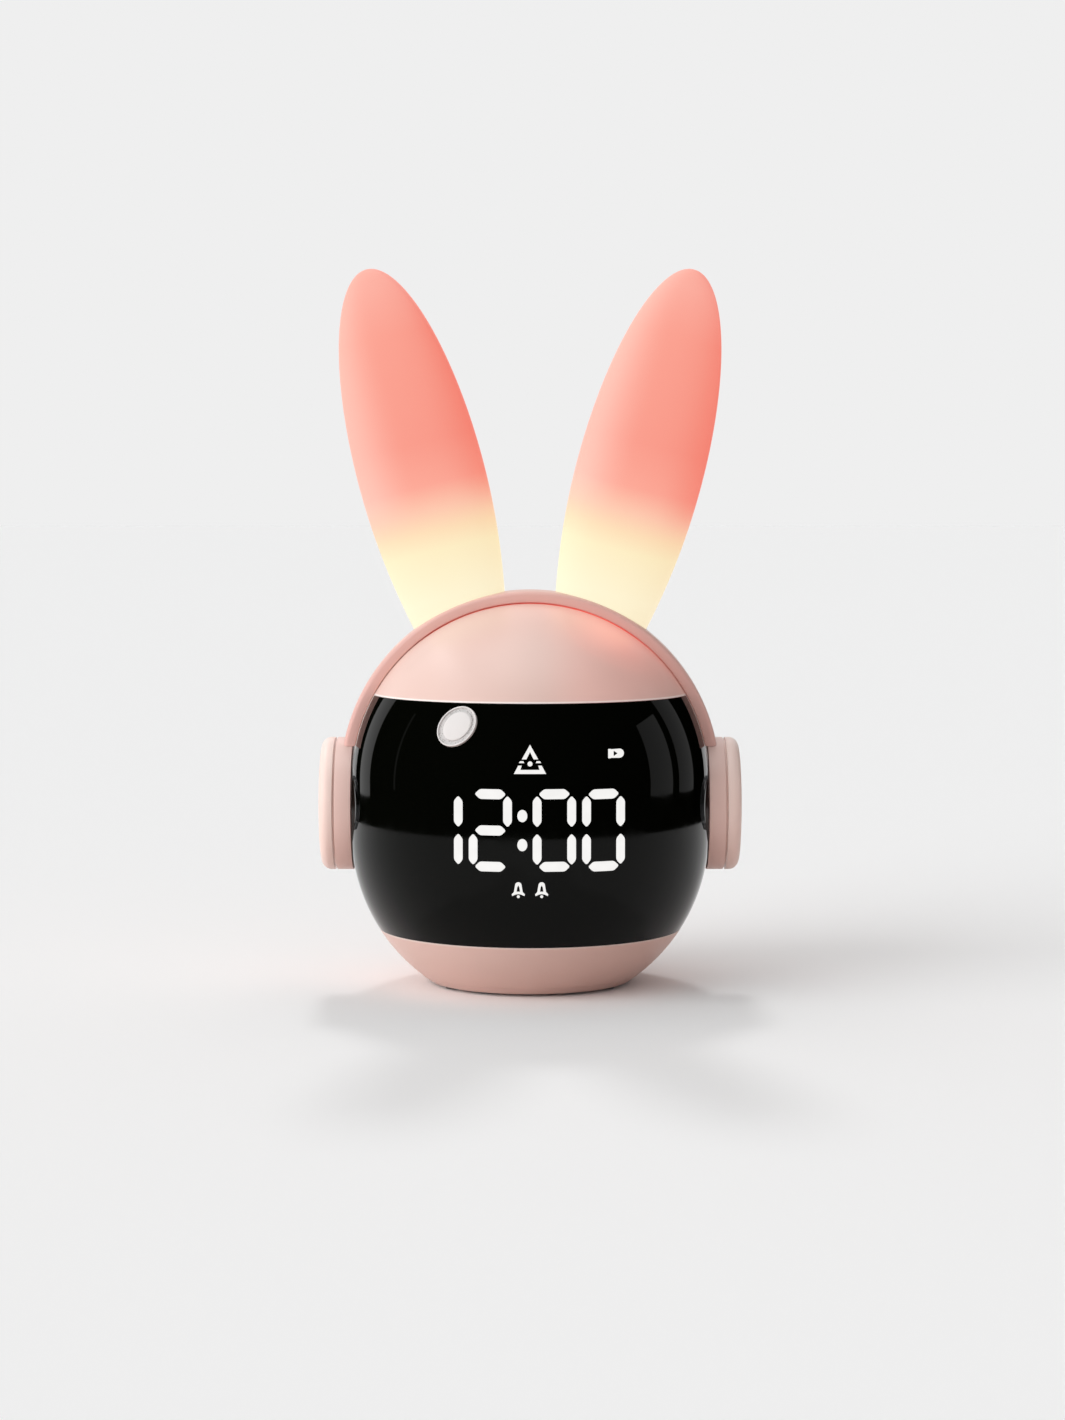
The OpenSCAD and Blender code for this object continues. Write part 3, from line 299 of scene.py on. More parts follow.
def modify(piece, kind, **settings):
    """Adds a modifier to the piece and applies it."""
    bpy.context.view_layer.objects.active = piece
    modifier = piece.modifiers.new(kind.lower(), kind)
    for name, value in settings.items():
        setattr(modifier, name, value)
    bpy.ops.object.modifier_apply(modifier=modifier.name)


def twin(piece, name):
    """A copy of the piece with its own mesh."""
    copy = piece.copy()
    copy.data = piece.data.copy()
    copy.name = name
    bpy.context.scene.collection.objects.link(copy)
    return copy


def head_centre(z):
    """Height of the centre of the ball, or of the waist, level with z."""
    return min(max(z, LOWER), UPPER)


def head_skin(name, radius):
    """The head's closed outer form: half a circle, split at the waist, spun about the upright."""
    fresh()
    bpy.ops.mesh.primitive_circle_add(vertices=HEAD_STEPS, radius=radius, location=(0, 0, LOWER),
                                      rotation=(math.radians(90), 0, 0))
    bpy.ops.object.transform_apply()
    piece = bpy.context.object
    piece.name = name
    open_piece(piece)
    pick(lambda p: p.x < -TINY, "VERT")
    bpy.ops.mesh.delete(type="VERT")
    pick(lambda p: p.z > LOWER + TINY, "VERT")
    bpy.ops.transform.translate(value=(0, 0, WAIST))
    pick(lambda p: abs(p.z - MIDDLE) < WAIST / 4, "EDGE")
    bpy.ops.mesh.subdivide(number_cuts=1)
    mesh = bmesh.from_edit_mesh(piece.data)
    for point in mesh.verts:
        if LOWER + TINY < point.co.z < UPPER:
            point.co = (radius, 0, UPPER)
    bmesh.update_edit_mesh(piece.data)
    bpy.ops.mesh.select_all(action="SELECT")
    bpy.ops.mesh.spin(steps=HEAD_STEPS, angle=2 * math.pi, center=(0, 0, 0), axis=(0, 0, 1))
    bpy.ops.mesh.select_all(action="SELECT")
    bpy.ops.mesh.remove_doubles(threshold=TINY)
    bpy.ops.mesh.normals_make_consistent(inside=False)
    return close_piece()


def round_normals(piece, radius):
    """Shades the points that lie on the head's surface as the true round form."""
    normals = []
    for point in piece.data.vertices:
        out = point.co - Vector((0, 0, head_centre(point.co.z)))
        on_skin = abs(out.length - radius) < 3 * TINY
        normals.append(out.normalized() if on_skin else Vector((0, 0, 0)))
    piece.data.normals_split_custom_set_from_vertices(normals)


def moulded(name, colour, roughness, grain=0.35 * MM, depth=0.006 * MM, specular=0.5, mottle=0.02):
    """Injection-moulded plastic from a finely eroded mould: an even satin skin whose grain breaks
    up the gloss, and a colour that drifts a little with the flow of the melt. The grain of such a
    mould is under 0.1 mm; it is drawn coarser, so that it shows."""
    material = bpy.data.materials.new(name)
    tree = empty_tree(material)
    place = add_node(tree, "ShaderNodeTexCoord")
    grains = add_node(tree, "ShaderNodeTexNoise", {"noise_dimensions": "3D"},
                      {"Vector": place.outputs["Object"], "Scale": 1 / grain, "Detail": 2.0})
    flow = add_node(tree, "ShaderNodeTexNoise", {"noise_dimensions": "3D"},
                    {"Vector": place.outputs["Object"], "Scale": 1 / (30 * MM), "Detail": 1.0})
    drift = add_node(tree, "ShaderNodeMapRange", None,
                     {"Value": flow.outputs["Fac"], "From Min": 0.3, "From Max": 0.7,
                      "To Min": 1 - mottle, "To Max": 1 + mottle})
    tint = add_node(tree, "ShaderNodeVectorMath", {"operation": "SCALE"},
                    {0: linear(colour)[:3], "Scale": drift.outputs[0]})
    gloss = add_node(tree, "ShaderNodeMapRange", None,
                     {"Value": grains.outputs["Fac"], "From Min": 0.3, "From Max": 0.7,
                      "To Min": roughness - 0.03, "To Max": roughness + 0.03})
    bump = add_node(tree, "ShaderNodeBump", None,
                    {"Height": grains.outputs["Fac"], "Strength": 0.5, "Distance": depth})
    shader = add_node(tree, "ShaderNodeBsdfPrincipled", None,
                      {"Base Color": tint.outputs[0], "Roughness": gloss.outputs[0],
                       "IOR": 1.5, "Specular IOR Level": specular, "Normal": bump.outputs[0]})
    add_node(tree, "ShaderNodeOutputMaterial", None, {"Surface": shader.outputs[0]})
    return material


def fit(piece, material, body, slot, *nodes):
    """Gives a finished piece its material, its body and the CAD nodes it stands for. The slot is
    not used.
    """
    piece.data.materials.clear()
    piece.data.materials.append(material)
    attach(piece, body)
    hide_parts(*nodes)


def crease(piece):
    """Shades a finished piece smooth, except along its real edges."""
    fresh()
    piece.select_set(True)
    bpy.context.view_layer.objects.active = piece
    bpy.ops.object.shade_smooth_by_angle(angle=math.radians(35))


def within(tree, limits):
    """Where a tint or a glow lies: 1 inside all its limits, fading to 0 outside them. Each limit
    gives a measure, where the tint has ended, and where it is full."""
    share = None
    for measure, ended, full in limits:
        step = add_node(tree, "ShaderNodeMapRange", {"interpolation_type": "SMOOTHSTEP"},
                        {"Value": measure, "From Min": ended, "From Max": full})
        if share is not None:
            step = add_node(tree, "ShaderNodeMath", {"operation": "MULTIPLY"},
                            {0: share, 1: step.outputs[0]})
        share = step.outputs[0]
    return share


def laid_over(tree, under, limits, strength, colour):
    """A colour laid thinly or thickly over the one underneath, inside its limits."""
    share = add_node(tree, "ShaderNodeMath", {"operation": "MULTIPLY"},
                     {0: within(tree, limits), 1: strength})
    layer = add_node(tree, "ShaderNodeMix", {"data_type": "RGBA"}, {"Factor": share.outputs[0]})
    tree.links.new(under, layer.inputs["A"])
    layer.inputs["B"].default_value = linear(colour)
    return layer.outputs["Result"]


# Satin ABS: soft broad highlights. Under the ears, where their coral lamps sit behind the wall, a
# painted coral glow stands in for the light that comes through it, most of all in one soft spot.
shell_pink = moulded("satin_abs_shell_pink", "#eaccc2", 0.35)
tree = shell_pink.node_tree
shader = next(node for node in tree.nodes if node.type == "BSDF_PRINCIPLED")
place = add_node(tree, "ShaderNodeTexCoord")
parts = add_node(tree, "ShaderNodeSeparateXYZ", None, {0: place.outputs["Object"]})
across, back, high = parts.outputs
deep = add_node(tree, "ShaderNodeMath", {"operation": "ABSOLUTE"}, {0: back}).outputs[0]
mirrored = add_node(tree, "ShaderNodeCombineXYZ", None, {0: across, 1: deep, 2: high})
from_spot = add_node(tree, "ShaderNodeVectorMath", {"operation": "DISTANCE"},
                     {0: mirrored.outputs[0], 1: (21.5 * MM, 20 * MM, 96.5 * MM)})
from_spot = from_spot.outputs["Value"]
on_top = (high, 70 * MM, 84 * MM)
seam_light = [on_top, (deep, BAND_HALF + 0.6 * MM, BAND_HALF + 0.1 * MM),
              (across, -34 * MM, -20 * MM), (across, 36 * MM, 22 * MM)]
wide_light = [on_top, (deep, 34 * MM, BAND_HALF), (across, -24 * MM, 24 * MM),
              (across, 48 * MM, 28 * MM)]
side_light = [on_top, (across, 0, 16 * MM), (across, 42 * MM, 24 * MM)]
spot_light = [on_top, (from_spot, 15 * MM, 0)]
# Painted coral glow, laid on the skin as emission and summed over its four zones
glow = 0.0
for limits, level in ((seam_light, 0.11), (wide_light, 0.20), (side_light, 0.11),
                      (spot_light, 0.15)):
    glow = add_node(tree, "ShaderNodeMath", {"operation": "MULTIPLY_ADD"},
                    {0: within(tree, limits), 1: level, 2: glow}).outputs[0]
tree.links.new(glow, shader.inputs["Emission Strength"])
shader.inputs["Emission Color"].default_value = linear("#ff7468")

# Down in the seam against the headband the skin is painted deep coral, a painted shade tinted by
# the ears' red light, and the two edges along the window carry painted highlights where they are
# rounded
painted_seam_shade = [on_top, (deep, BAND_HALF + 0.55 * MM, BAND_HALF + 0.3 * MM),
             (across, -36 * MM, -24 * MM), (across, 36 * MM, 26 * MM)]
in_front = (back, 0, -1 * MM)
painted_upper_highlight = [in_front, (high, window_high.z + 0.65 * MM, window_high.z + 0.35 * MM),
              (high, MIDDLE, MIDDLE + 1 * MM)]
painted_lower_highlight = [in_front, (high, window_low.z - 0.6 * MM, window_low.z - 0.3 * MM),
              (high, MIDDLE, MIDDLE - 1 * MM)]
skin = shader.inputs["Base Color"].links[0].from_socket
# Painted seam shade and painted edge highlights, laid over the skin's colour
for limits, strength, colour in ((painted_seam_shade, 1.0, "#d8503c"), (painted_upper_highlight, 1.0, "#fff6f1"),
                                 (painted_lower_highlight, 0.45, "#fff6f1")):
    skin = laid_over(tree, skin, limits, strength, colour)
tree.links.new(skin, shader.inputs["Base Color"])

SEAT_GAP = 0.1 * MM
SHELL_ROUND = 0.35 * MM
front = head_skin("front_shell", BALL_R)
open_piece(front)
slice_at((0, 0, FLOOR_Z), (0, 0, -1), drop=True)
pick(lambda p: abs(p.z - FLOOR_Z) < TINY, "EDGE")
floor_rim_r = math.sqrt(BALL_R ** 2 - (LOWER - FLOOR_Z) ** 2)
bpy.ops.mesh.extrude_edges_move()
share = FLOOR_HOLE_R / floor_rim_r
bpy.ops.transform.resize(value=(share, share, 1), center_override=(0, 0, FLOOR_Z))
slice_at((0, 0, 0), (0, 1, 0))

# Front half: dome above the window, chin below it, and a cheek beside it on either side
pick(lambda p: p.y > 0)
bpy.ops.mesh.delete(type="FACE")
slice_at((0, 0, window_high.z + SEAT_GAP), (0, 0, 1))
slice_at((0, 0, window_low.z - SEAT_GAP), (0, 0, 1))
slice_at((0, 0, CUP_Z), (0, 0, 1))
slice_at((0, window_high.y + SEAT_GAP, 0), (0, 1, 0))
slice_at((0, CHEEK_Y + SEAT_GAP, 0), (0, 1, 0))
pick(lambda p: window_low.z - SEAT_GAP < p.z < window_high.z + SEAT_GAP
     and p.y < (CHEEK_Y if p.z > CUP_Z else window_high.y) + SEAT_GAP)
bpy.ops.mesh.delete(type="FACE")
close_piece()
modify(front, "SOLIDIFY", thickness=SHELL_WALL, offset=-1, use_even_offset=True)
modify(front, "BEVEL", width=SHELL_ROUND, segments=3, limit_method="ANGLE",
       angle_limit=math.radians(40))
front.data.shade_smooth()
round_normals(front, BALL_R)
fit(front, shell_pink, "clock", "shell_plastic", "front_shell")


def dress(material, *nodes):
    """Gives CAD pieces whose shape is right as it is their material."""
    for node in nodes:
        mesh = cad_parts[node].data
        mesh.materials.clear()
        mesh.materials.append(material)


# The rear half and the base plate are moulded from the same pink
dress(shell_pink, "rear_shell", "base_plate")


# ---------------------------------------------------------------- Window
# One piece of smoked acrylic, let flush into the shell and polished, so that it mirrors the room
# faintly and hides the display block behind it.
WINDOW_T = 1.6 * MM
COLLAR_R = 13.2 * MM
NOTCH_X = 40 * MM
NOTCH_GAP = 0.2 * MM
WINDOW_ROUND = 0.25 * MM

# Polished acrylic: sharp, faint reflections on black, hazed a little where it has been wiped
window_black = bpy.data.materials.new("polished_smoked_acrylic")
tree = empty_tree(window_black)
place = add_node(tree, "ShaderNodeTexCoord")
wipe = add_node(tree, "ShaderNodeTexNoise", None,
                {"Vector": place.outputs["Object"], "Scale": 1 / (6 * MM), "Detail": 3.0})
haze = add_node(tree, "ShaderNodeMapRange", None,
                {"Value": wipe.outputs["Fac"], "From Min": 0.4, "From Max": 0.8,
                 "To Min": 0.025, "To Max": 0.06})
shader = add_node(tree, "ShaderNodeBsdfPrincipled", None,
                  {"Base Color": linear("#040503"), "Roughness": haze.outputs[0],
                   "IOR": 1.49, "Specular IOR Level": 0.14})
add_node(tree, "ShaderNodeOutputMaterial", None, {"Surface": shader.outputs[0]})

window = head_skin("visor", BALL_R)
open_piece(window)
slice_at((0, 0, window_high.z), (0, 0, 1), drop=True)
slice_at((0, 0, window_low.z), (0, 0, -1), drop=True)
slice_at((0, window_high.y, 0), (0, 1, 0), drop=True)
slice_at((0, CHEEK_Y, 0), (0, 1, 0))
slice_at((0, 0, CUP_Z), (0, 0, 1))
pick(lambda p: p.z > CUP_Z and p.y > CHEEK_Y)
bpy.ops.mesh.delete(type="FACE")
close_piece()
modify(window, "SOLIDIFY", thickness=WINDOW_T, offset=-1, use_even_offset=True)
fresh()
bpy.ops.mesh.primitive_cylinder_add(vertices=160, radius=COLLAR_R + NOTCH_GAP, depth=0.2,
                                    location=(0, 0, CUP_Z), rotation=(0, math.radians(90), 0))
cutter = bpy.context.object
open_piece(cutter)
slice_at((-NOTCH_X, 0, CUP_Z), (1, 0, 0))
slice_at((NOTCH_X, 0, CUP_Z), (1, 0, 0))
pick(lambda p: abs(p.x) < NOTCH_X)
bpy.ops.mesh.delete(type="FACE")
bpy.ops.mesh.select_all(action="SELECT")
bpy.ops.mesh.fill_holes(sides=0)
bpy.ops.mesh.normals_make_consistent(inside=False)
close_piece()
modify(window, "BOOLEAN", operation="DIFFERENCE", object=cutter, solver="EXACT")
bpy.data.objects.remove(cutter)
modify(window, "BEVEL", width=WINDOW_ROUND, segments=3, limit_method="ANGLE",
       angle_limit=math.radians(40))
window.data.shade_smooth()
round_normals(window, BALL_R)
fit(window, window_black, "clock", "window_plastic", "visor")


# ---------------------------------------------------------------- Digits and icons
# Light guides of milky acrylic in the window, lit from behind by one lamp each: four digits of
# seven segments, the colon, a warning triangle, a battery and two alarm bells.
DIGIT_H = 21.6 * MM
DIGIT_W = 11.3 * MM
DIGIT_PITCH = 12.9 * MM
COLON_X = -2 * MM
COLON_GAP = 5.4 * MM
SEGMENT_W = 2.6 * MM
UPRIGHT_W = 2.3 * MM
SEGMENT_END = 1.35 * MM
SEGMENT_ROUND = 0.5 * MM
TIME_Z = MIDDLE - 1.6 * MM
PROUD = 0.03 * MM
GUIDE_T = 1.0 * MM

# Milky acrylic lit from behind: an even white that needs no other light
guide_white = bpy.data.materials.new("lit_milky_acrylic")
tree = empty_tree(guide_white)
place = add_node(tree, "ShaderNodeTexCoord")
cloud = add_node(tree, "ShaderNodeTexNoise", None,
                 {"Vector": place.outputs["Object"], "Scale": 1 / (3 * MM), "Detail": 1.0})
even = add_node(tree, "ShaderNodeMapRange", None,
                {"Value": cloud.outputs["Fac"], "From Min": 0.3, "From Max": 0.7,
                 "To Min": 0.86, "To Max": 0.90})
shader = add_node(tree, "ShaderNodeBsdfPrincipled", None,
                  {"Base Color": linear("#3c3c3c"), "Roughness": 0.12, "Specular IOR Level": 0.3,
                   "Emission Color": linear("#fffefc"), "Emission Strength": even.outputs[0]})
add_node(tree, "ShaderNodeOutputMaterial", None, {"Surface": shader.outputs[0]})


def onto_head(piece):
    """Bends a flat piece in the upright plane onto the head: its front follows the surface."""
    for point in piece.data.vertices:
        depth = -PROUD if point.co.y < 0 else GUIDE_T
        up = point.co.z - head_centre(point.co.z)
        radius = BALL_R - depth
        point.co.y = -math.sqrt(radius ** 2 - point.co.x ** 2 - up ** 2)


def light_guide(name, x, z, cuts):
    """Thickens the open flat outline, moves it to its place and bends it onto the head."""
    bpy.ops.mesh.select_all(action="SELECT")
    bpy.ops.mesh.quads_convert_to_tris()
    bpy.ops.mesh.subdivide(number_cuts=cuts)
    bpy.ops.mesh.select_all(action="SELECT")
    bpy.ops.mesh.extrude_region_move(TRANSFORM_OT_translate={"value": (0, -GUIDE_T, 0)})
    bpy.ops.mesh.select_all(action="SELECT")
    bpy.ops.mesh.normals_make_consistent(inside=False)
    bpy.ops.transform.translate(value=(x, GUIDE_T / 2, z))
    piece = close_piece()
    piece.name = name
    onto_head(piece)
    return piece


def hexagon(length, width):
    """Corners of a bar that is blunt at its two ends, from the left end round."""
    half, side = length / 2, width / 2
    return [(-half, 0), (-half + SEGMENT_END, side), (half - SEGMENT_END, side),
            (half, 0), (half - SEGMENT_END, -side), (-half + SEGMENT_END, -side)]


def segment(length, upright, x, z):
    """One bar of a digit: a long hexagon with its six corners rounded."""
    fresh()
    bpy.ops.mesh.primitive_circle_add(vertices=6, radius=1, fill_type="NGON",
                                      rotation=(math.radians(90), 0, 0))
    bpy.ops.object.transform_apply()
    bar = bpy.context.object
    width = UPRIGHT_W if upright else SEGMENT_W
    for point, (along, across) in zip(bar.data.vertices, hexagon(length, width)):
        point.co = (across, 0, along) if upright else (along, 0, across)
    open_piece(bar)
    bpy.ops.mesh.select_all(action="SELECT")
    bpy.ops.mesh.bevel(offset=SEGMENT_ROUND, segments=4, affect="VERTICES")
    return light_guide("segment", x, z, 3)


# A digit's bars by letter: a at the top, b and c upper left and right, d in the middle, e and f
# lower left and right, g at the foot. The outer digits hang a little, as the head curves away.
ACROSS = 8.2 * MM
UP = 8.3 * MM
BAR_GAP = 0.2 * MM
SAG = 0.08
DOT_R = 1.3 * MM
DOT_STRETCH = 1.23
DOT_UP = 3.8 * MM
LIT = {0: "abcefg", 1: "cf", 2: "acdeg"}
digit_middles = [
    COLON_X - COLON_GAP / 2 - DIGIT_W / 2 - DIGIT_PITCH, COLON_X - COLON_GAP / 2 - DIGIT_W / 2,
    COLON_X + COLON_GAP / 2 + DIGIT_W / 2, COLON_X + COLON_GAP / 2 + DIGIT_W / 2 + DIGIT_PITCH,
]
rise = (DIGIT_H - SEGMENT_W) / 2
half_rise = rise / 2 + BAR_GAP
reach = (DIGIT_W - UPRIGHT_W) / 2
SEGMENTS = {
    "a": (ACROSS, False, 0, rise), "b": (UP, True, -reach, half_rise),
    "c": (UP, True, reach, half_rise), "d": (ACROSS, False, 0, 0),
    "e": (UP, True, -reach, -half_rise), "f": (UP, True, reach, -half_rise),
    "g": (ACROSS, False, 0, -rise),
}
bars = []
for digit, middle in zip((1, 2, 0, 0), digit_middles):
    for letter in LIT[digit]:
        length, upright, x, z = SEGMENTS[letter]
        sag = SAG * (BALL_R - math.sqrt(BALL_R ** 2 - (middle + x) ** 2))
        bars.append(segment(length, upright, middle + x, TIME_Z + z - sag))


def colon_dot(z):
    """One dot of the colon: a disc a little taller than wide."""
    fresh()
    bpy.ops.mesh.primitive_circle_add(vertices=32, radius=DOT_R, fill_type="NGON",
                                      rotation=(math.radians(90), 0, 0))
    bpy.ops.object.transform_apply()
    dot = bpy.context.object
    open_piece(dot)
    bpy.ops.mesh.select_all(action="SELECT")
    bpy.ops.transform.resize(value=(1, 1, DOT_STRETCH), center_override=(0, 0, 0))
    return light_guide("colon_dot", COLON_X, z, 2)


for side in (-1, 1):
    bars.append(colon_dot(TIME_Z + side * DOT_UP))


def join(pieces, name):
    """Joins like pieces into one object."""
    fresh()
    for piece in pieces:
        piece.select_set(True)
    bpy.context.view_layer.objects.active = pieces[0]
    bpy.ops.object.join()
    pieces[0].name = name
    return pieces[0]


digits = join(bars, "time_segments")
digits.data.shade_smooth()
fit(digits, guide_white, "clock", "light_guide", "time_segments")


def icon(outlines, x, z, cuts):
    """A light guide cut to closed outlines in the upright plane; an outline within another is
    a hole."""
    fresh()
    drawing = bpy.data.curves.new("icon", "CURVE")
    drawing.dimensions = "2D"
    drawing.fill_mode = "BOTH"
    for outline in outlines:
        line = drawing.splines.new("POLY")
        line.points.add(len(outline) - 1)
        for point, (across, up) in zip(line.points, outline):
            point.co = (across * MM, up * MM, 0, 1)
        line.use_cyclic_u = True
    piece = bpy.data.objects.new("icon", drawing)
    bpy.context.scene.collection.objects.link(piece)
    piece.select_set(True)
    bpy.context.view_layer.objects.active = piece
    bpy.ops.object.convert(target="MESH")
    piece = bpy.context.object
    piece.rotation_euler = (math.radians(90), 0, 0)
    bpy.ops.object.transform_apply()
    open_piece(piece)
    bpy.ops.mesh.select_all(action="SELECT")
    bpy.ops.mesh.remove_doubles(threshold=TINY / 10)
    return light_guide("icon", x, z, cuts)


def arc(x, z, radius, start, end, steps):
    """Points round a circle from one angle to another, in degrees."""
    return [(x + radius * math.cos(math.radians(start + (end - start) * i / steps)),
             z + radius * math.sin(math.radians(start + (end - start) * i / steps)))
            for i in range(steps + 1)]


# Warning triangle: a chevron, two dashes at mid height, a base with upturned ends, and a dot
TRIANGLE_Z = UPPER + 9.6 * MM
chevron = [(0, 3.75), (2.15, 0), (0.95, 0), (0, 1.9), (-0.95, 0), (-2.15, 0)]
dash = [(2.6, -0.45), (1.7, -0.45), (1.5, -0.95), (2.9, -0.95)]
base = [(-4.2, -3.75), (4.2, -3.75), (3.05, -1.6), (2.15, -1.6), (2.5, -2.7), (-2.5, -2.7),
        (-2.15, -1.6), (-3.05, -1.6)]
triangle = [chevron, dash, [(-x, z) for x, z in reversed(dash)], base,
            arc(0, -1.15, 0.65, 0, 345, 23)]
icons = [icon([outline], 0, TRIANGLE_Z, 2) for outline in triangle]

# Battery: a filled body with one round end and a dark arrow in it
BATTERY_X = 22.5 * MM
BATTERY_Z = UPPER + 10.7 * MM
body = ([(-2.05, -1.2), (-1.45, -1.2), (-1.25, -1.1)] + arc(0.95, 0, 1.18, -90, 90, 10)
        + [(-1.25, 1.1), (-1.45, 1.2), (-2.05, 1.2)])
arrow = [(-0.6, -0.7), (-0.6, 0.7), (0.45, 0)]
icons.append(icon([body, arrow], BATTERY_X, BATTERY_Z, 2))

# Alarm bells: a hollow bell with a flared mouth, and its clapper
BELL_X = 3.05 * MM
BELL_Z = LOWER - 9.8 * MM
bell = (arc(0, 1.05, 0.85, 15, 165, 10)
        + [(-1.15, -0.75), (-1.72, -1.35), (-1.6, -1.85), (-0.75, -1.45), (0, -1.3), (0.75, -1.45),
           (1.6, -1.85), (1.72, -1.35), (1.15, -0.75)])
hollow = [(0.45, -0.65), (-0.45, -0.65), (-0.28, 0.5), (0, 1.05), (0.28, 0.5)]
clapper = arc(0, -2.0, 0.4, 0, 345, 15)
for side in (-1, 1):
    icons.append(icon([bell, hollow], side * BELL_X, BELL_Z, 1))
    icons.append(icon([clapper], side * BELL_X, BELL_Z, 1))

signs = join(icons, "status_icons")
signs.data.shade_smooth()
fit(signs, guide_white, "clock", "light_guide", "status_icons")


# ---------------------------------------------------------------- Headband
# A springy ABS band in a deeper pink that clips over the head from cup to cup. Its inner face
# follows the ball, its back is crowned and its edges are rounded.
band_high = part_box("headband")[1]
BAND_OUT = band_high.z - UPPER
BAND_IN = BALL_R + SEAT_GAP
BAND_CROWN_R = 90 * MM
BAND_EDGE_R = 1.1 * MM
BAND_FOOT_R = 0.45 * MM

fresh()
bpy.ops.mesh.primitive_plane_add(size=1, rotation=(0, math.radians(90), 0),
                                 location=(0, 0, UPPER + (BAND_IN + BAND_OUT) / 2))
bpy.ops.object.transform_apply()
band = bpy.context.object
band.name = "headband"
for point in band.data.vertices:
    point.co.y = math.copysign(BAND_HALF, point.co.y)
    point.co.z = UPPER + (BAND_OUT if point.co.z > UPPER + BAND_IN else BAND_IN)
open_piece(band)

# Its section: the inner line follows the ball, the outer one is crowned, and both ends are round
pick(lambda p: abs(p.y) < TINY, "EDGE")
bpy.ops.mesh.subdivide(number_cuts=11)
mesh = bmesh.from_edit_mesh(band.data)
for point in mesh.verts:
    crown = UPPER + BAND_OUT - BAND_CROWN_R + math.sqrt(BAND_CROWN_R ** 2 - point.co.y ** 2)
    inner = UPPER + math.sqrt(BAND_IN ** 2 - point.co.y ** 2)
    point.co.z = crown if point.co.z > UPPER + (BAND_IN + BAND_OUT) / 2 else inner
bmesh.update_edit_mesh(band.data)
band_mid = UPPER + (BAND_IN + BAND_OUT) / 2
pick(lambda p: abs(p.z - band_mid) < 0.9 * MM and abs(p.y) < BAND_HALF - TINY, "EDGE")
bpy.ops.mesh.dissolve_edges(use_verts=False)
pick(lambda p: abs(p.y) > BAND_HALF - TINY and p.z > UPPER + BAND_IN, "VERT")
bpy.ops.mesh.bevel(offset=BAND_EDGE_R, segments=6, affect="VERTICES")
pick(lambda p: abs(p.y) > BAND_HALF - TINY and p.z < UPPER + BAND_IN, "VERT")
bpy.ops.mesh.bevel(offset=BAND_FOOT_R, segments=3, affect="VERTICES")
bpy.ops.mesh.select_all(action="SELECT")
bpy.ops.mesh.delete(type="ONLY_FACE")
bpy.ops.mesh.select_all(action="SELECT")
bpy.ops.mesh.spin(steps=256, angle=2 * math.pi, center=(0, 0, UPPER), axis=(0, 1, 0))
bpy.ops.mesh.select_all(action="SELECT")
bpy.ops.mesh.remove_doubles(threshold=TINY)
bpy.ops.mesh.normals_make_consistent(inside=False)
slice_at((0, 0, CUP_Z + CUP_R / 2), (0, 0, -1), drop=True)
pick(lambda p: abs(p.z - CUP_Z - CUP_R / 2) < TINY, "EDGE")
bpy.ops.mesh.fill_holes(sides=0)
close_piece()

bpy.ops.mesh.primitive_cylinder_add(vertices=192, radius=CUP_R + SEAT_GAP, depth=0.2,
                                    location=(0, 0, CUP_Z), rotation=(0, math.radians(90), 0))
cutter = bpy.context.object
modify(band, "BOOLEAN", operation="DIFFERENCE", object=cutter, solver="EXACT")
bpy.data.objects.remove(cutter)
band.data.shade_smooth()
crease(band)

# Satin ABS like the shell's, a deeper pink
band_pink = moulded("satin_abs_band_pink", "#e8bbb2", 0.36)
fit(band, band_pink, "clock", "band_plastic", "headband")


# ---------------------------------------------------------------- Ears
# Two hollow diffusers of milky polypropylene, each moulded with a tenon that the shells hold. Warm
# lamps light them from inside low down and coral ones above: cream at the foot, coral to the tip.
EAR_X = 19.1 * MM
EAR_Z = 100 * MM
EAR_TILT = 15
EAR_LEN = 99.6 * MM
EAR_WIDE_AT = 42 * MM
EAR_SINK = 1.2 * MM
EAR_HALF_W = 17.4 * MM
EAR_HALF_T = 8.2 * MM

# Slimmer at the foot than at its widest, by these shares; its sections are ovals made a little
# squarer by the power, where 2 is a plain oval
FOOT_W_LOSS = 0.28
FOOT_T_LOSS = 0.17
EAR_POWER = 2.3


def ear(name, side, material):
    """An egg-shaped ear: a sphere, its upper half drawn to the tip and its lower to the foot."""
    fresh()
    bpy.ops.mesh.primitive_uv_sphere_add(segments=96, ring_count=96, radius=1)
    piece = bpy.context.object
    piece.name = name
    for point in piece.data.vertices:
        height = max(-1, min(1, point.co.z))
        turn = math.atan2(point.co.y, point.co.x)
        if height >= 0:
            along = EAR_WIDE_AT + (EAR_LEN - EAR_WIDE_AT) * height
            wide = thick = math.sqrt(1 - height ** 2)
        else:
            fall = min(1, math.acos(-height) / (math.pi / 2))
            drop = 1 - fall
            along = EAR_WIDE_AT - (EAR_WIDE_AT + EAR_SINK) * drop
            wide = 1 - FOOT_W_LOSS * drop ** 2
            thick = 1 - FOOT_T_LOSS * drop ** 2
            if height < -1 + 1e-6:
                wide = thick = 0
        c, s = math.cos(turn), math.sin(turn)
        x = EAR_HALF_W * wide * math.copysign(abs(c) ** (2 / EAR_POWER), c)
        y = EAR_HALF_T * thick * math.copysign(abs(s) ** (2 / EAR_POWER), s)
        point.co = (x, y, along)
    piece.rotation_euler = (0, math.radians(side * EAR_TILT), 0)
    piece.location = (side * EAR_X, 0, EAR_Z)
    bpy.ops.object.transform_apply()
    piece.data.shade_smooth()
    fit(piece, material, "clock", "ear_diffuser", name)


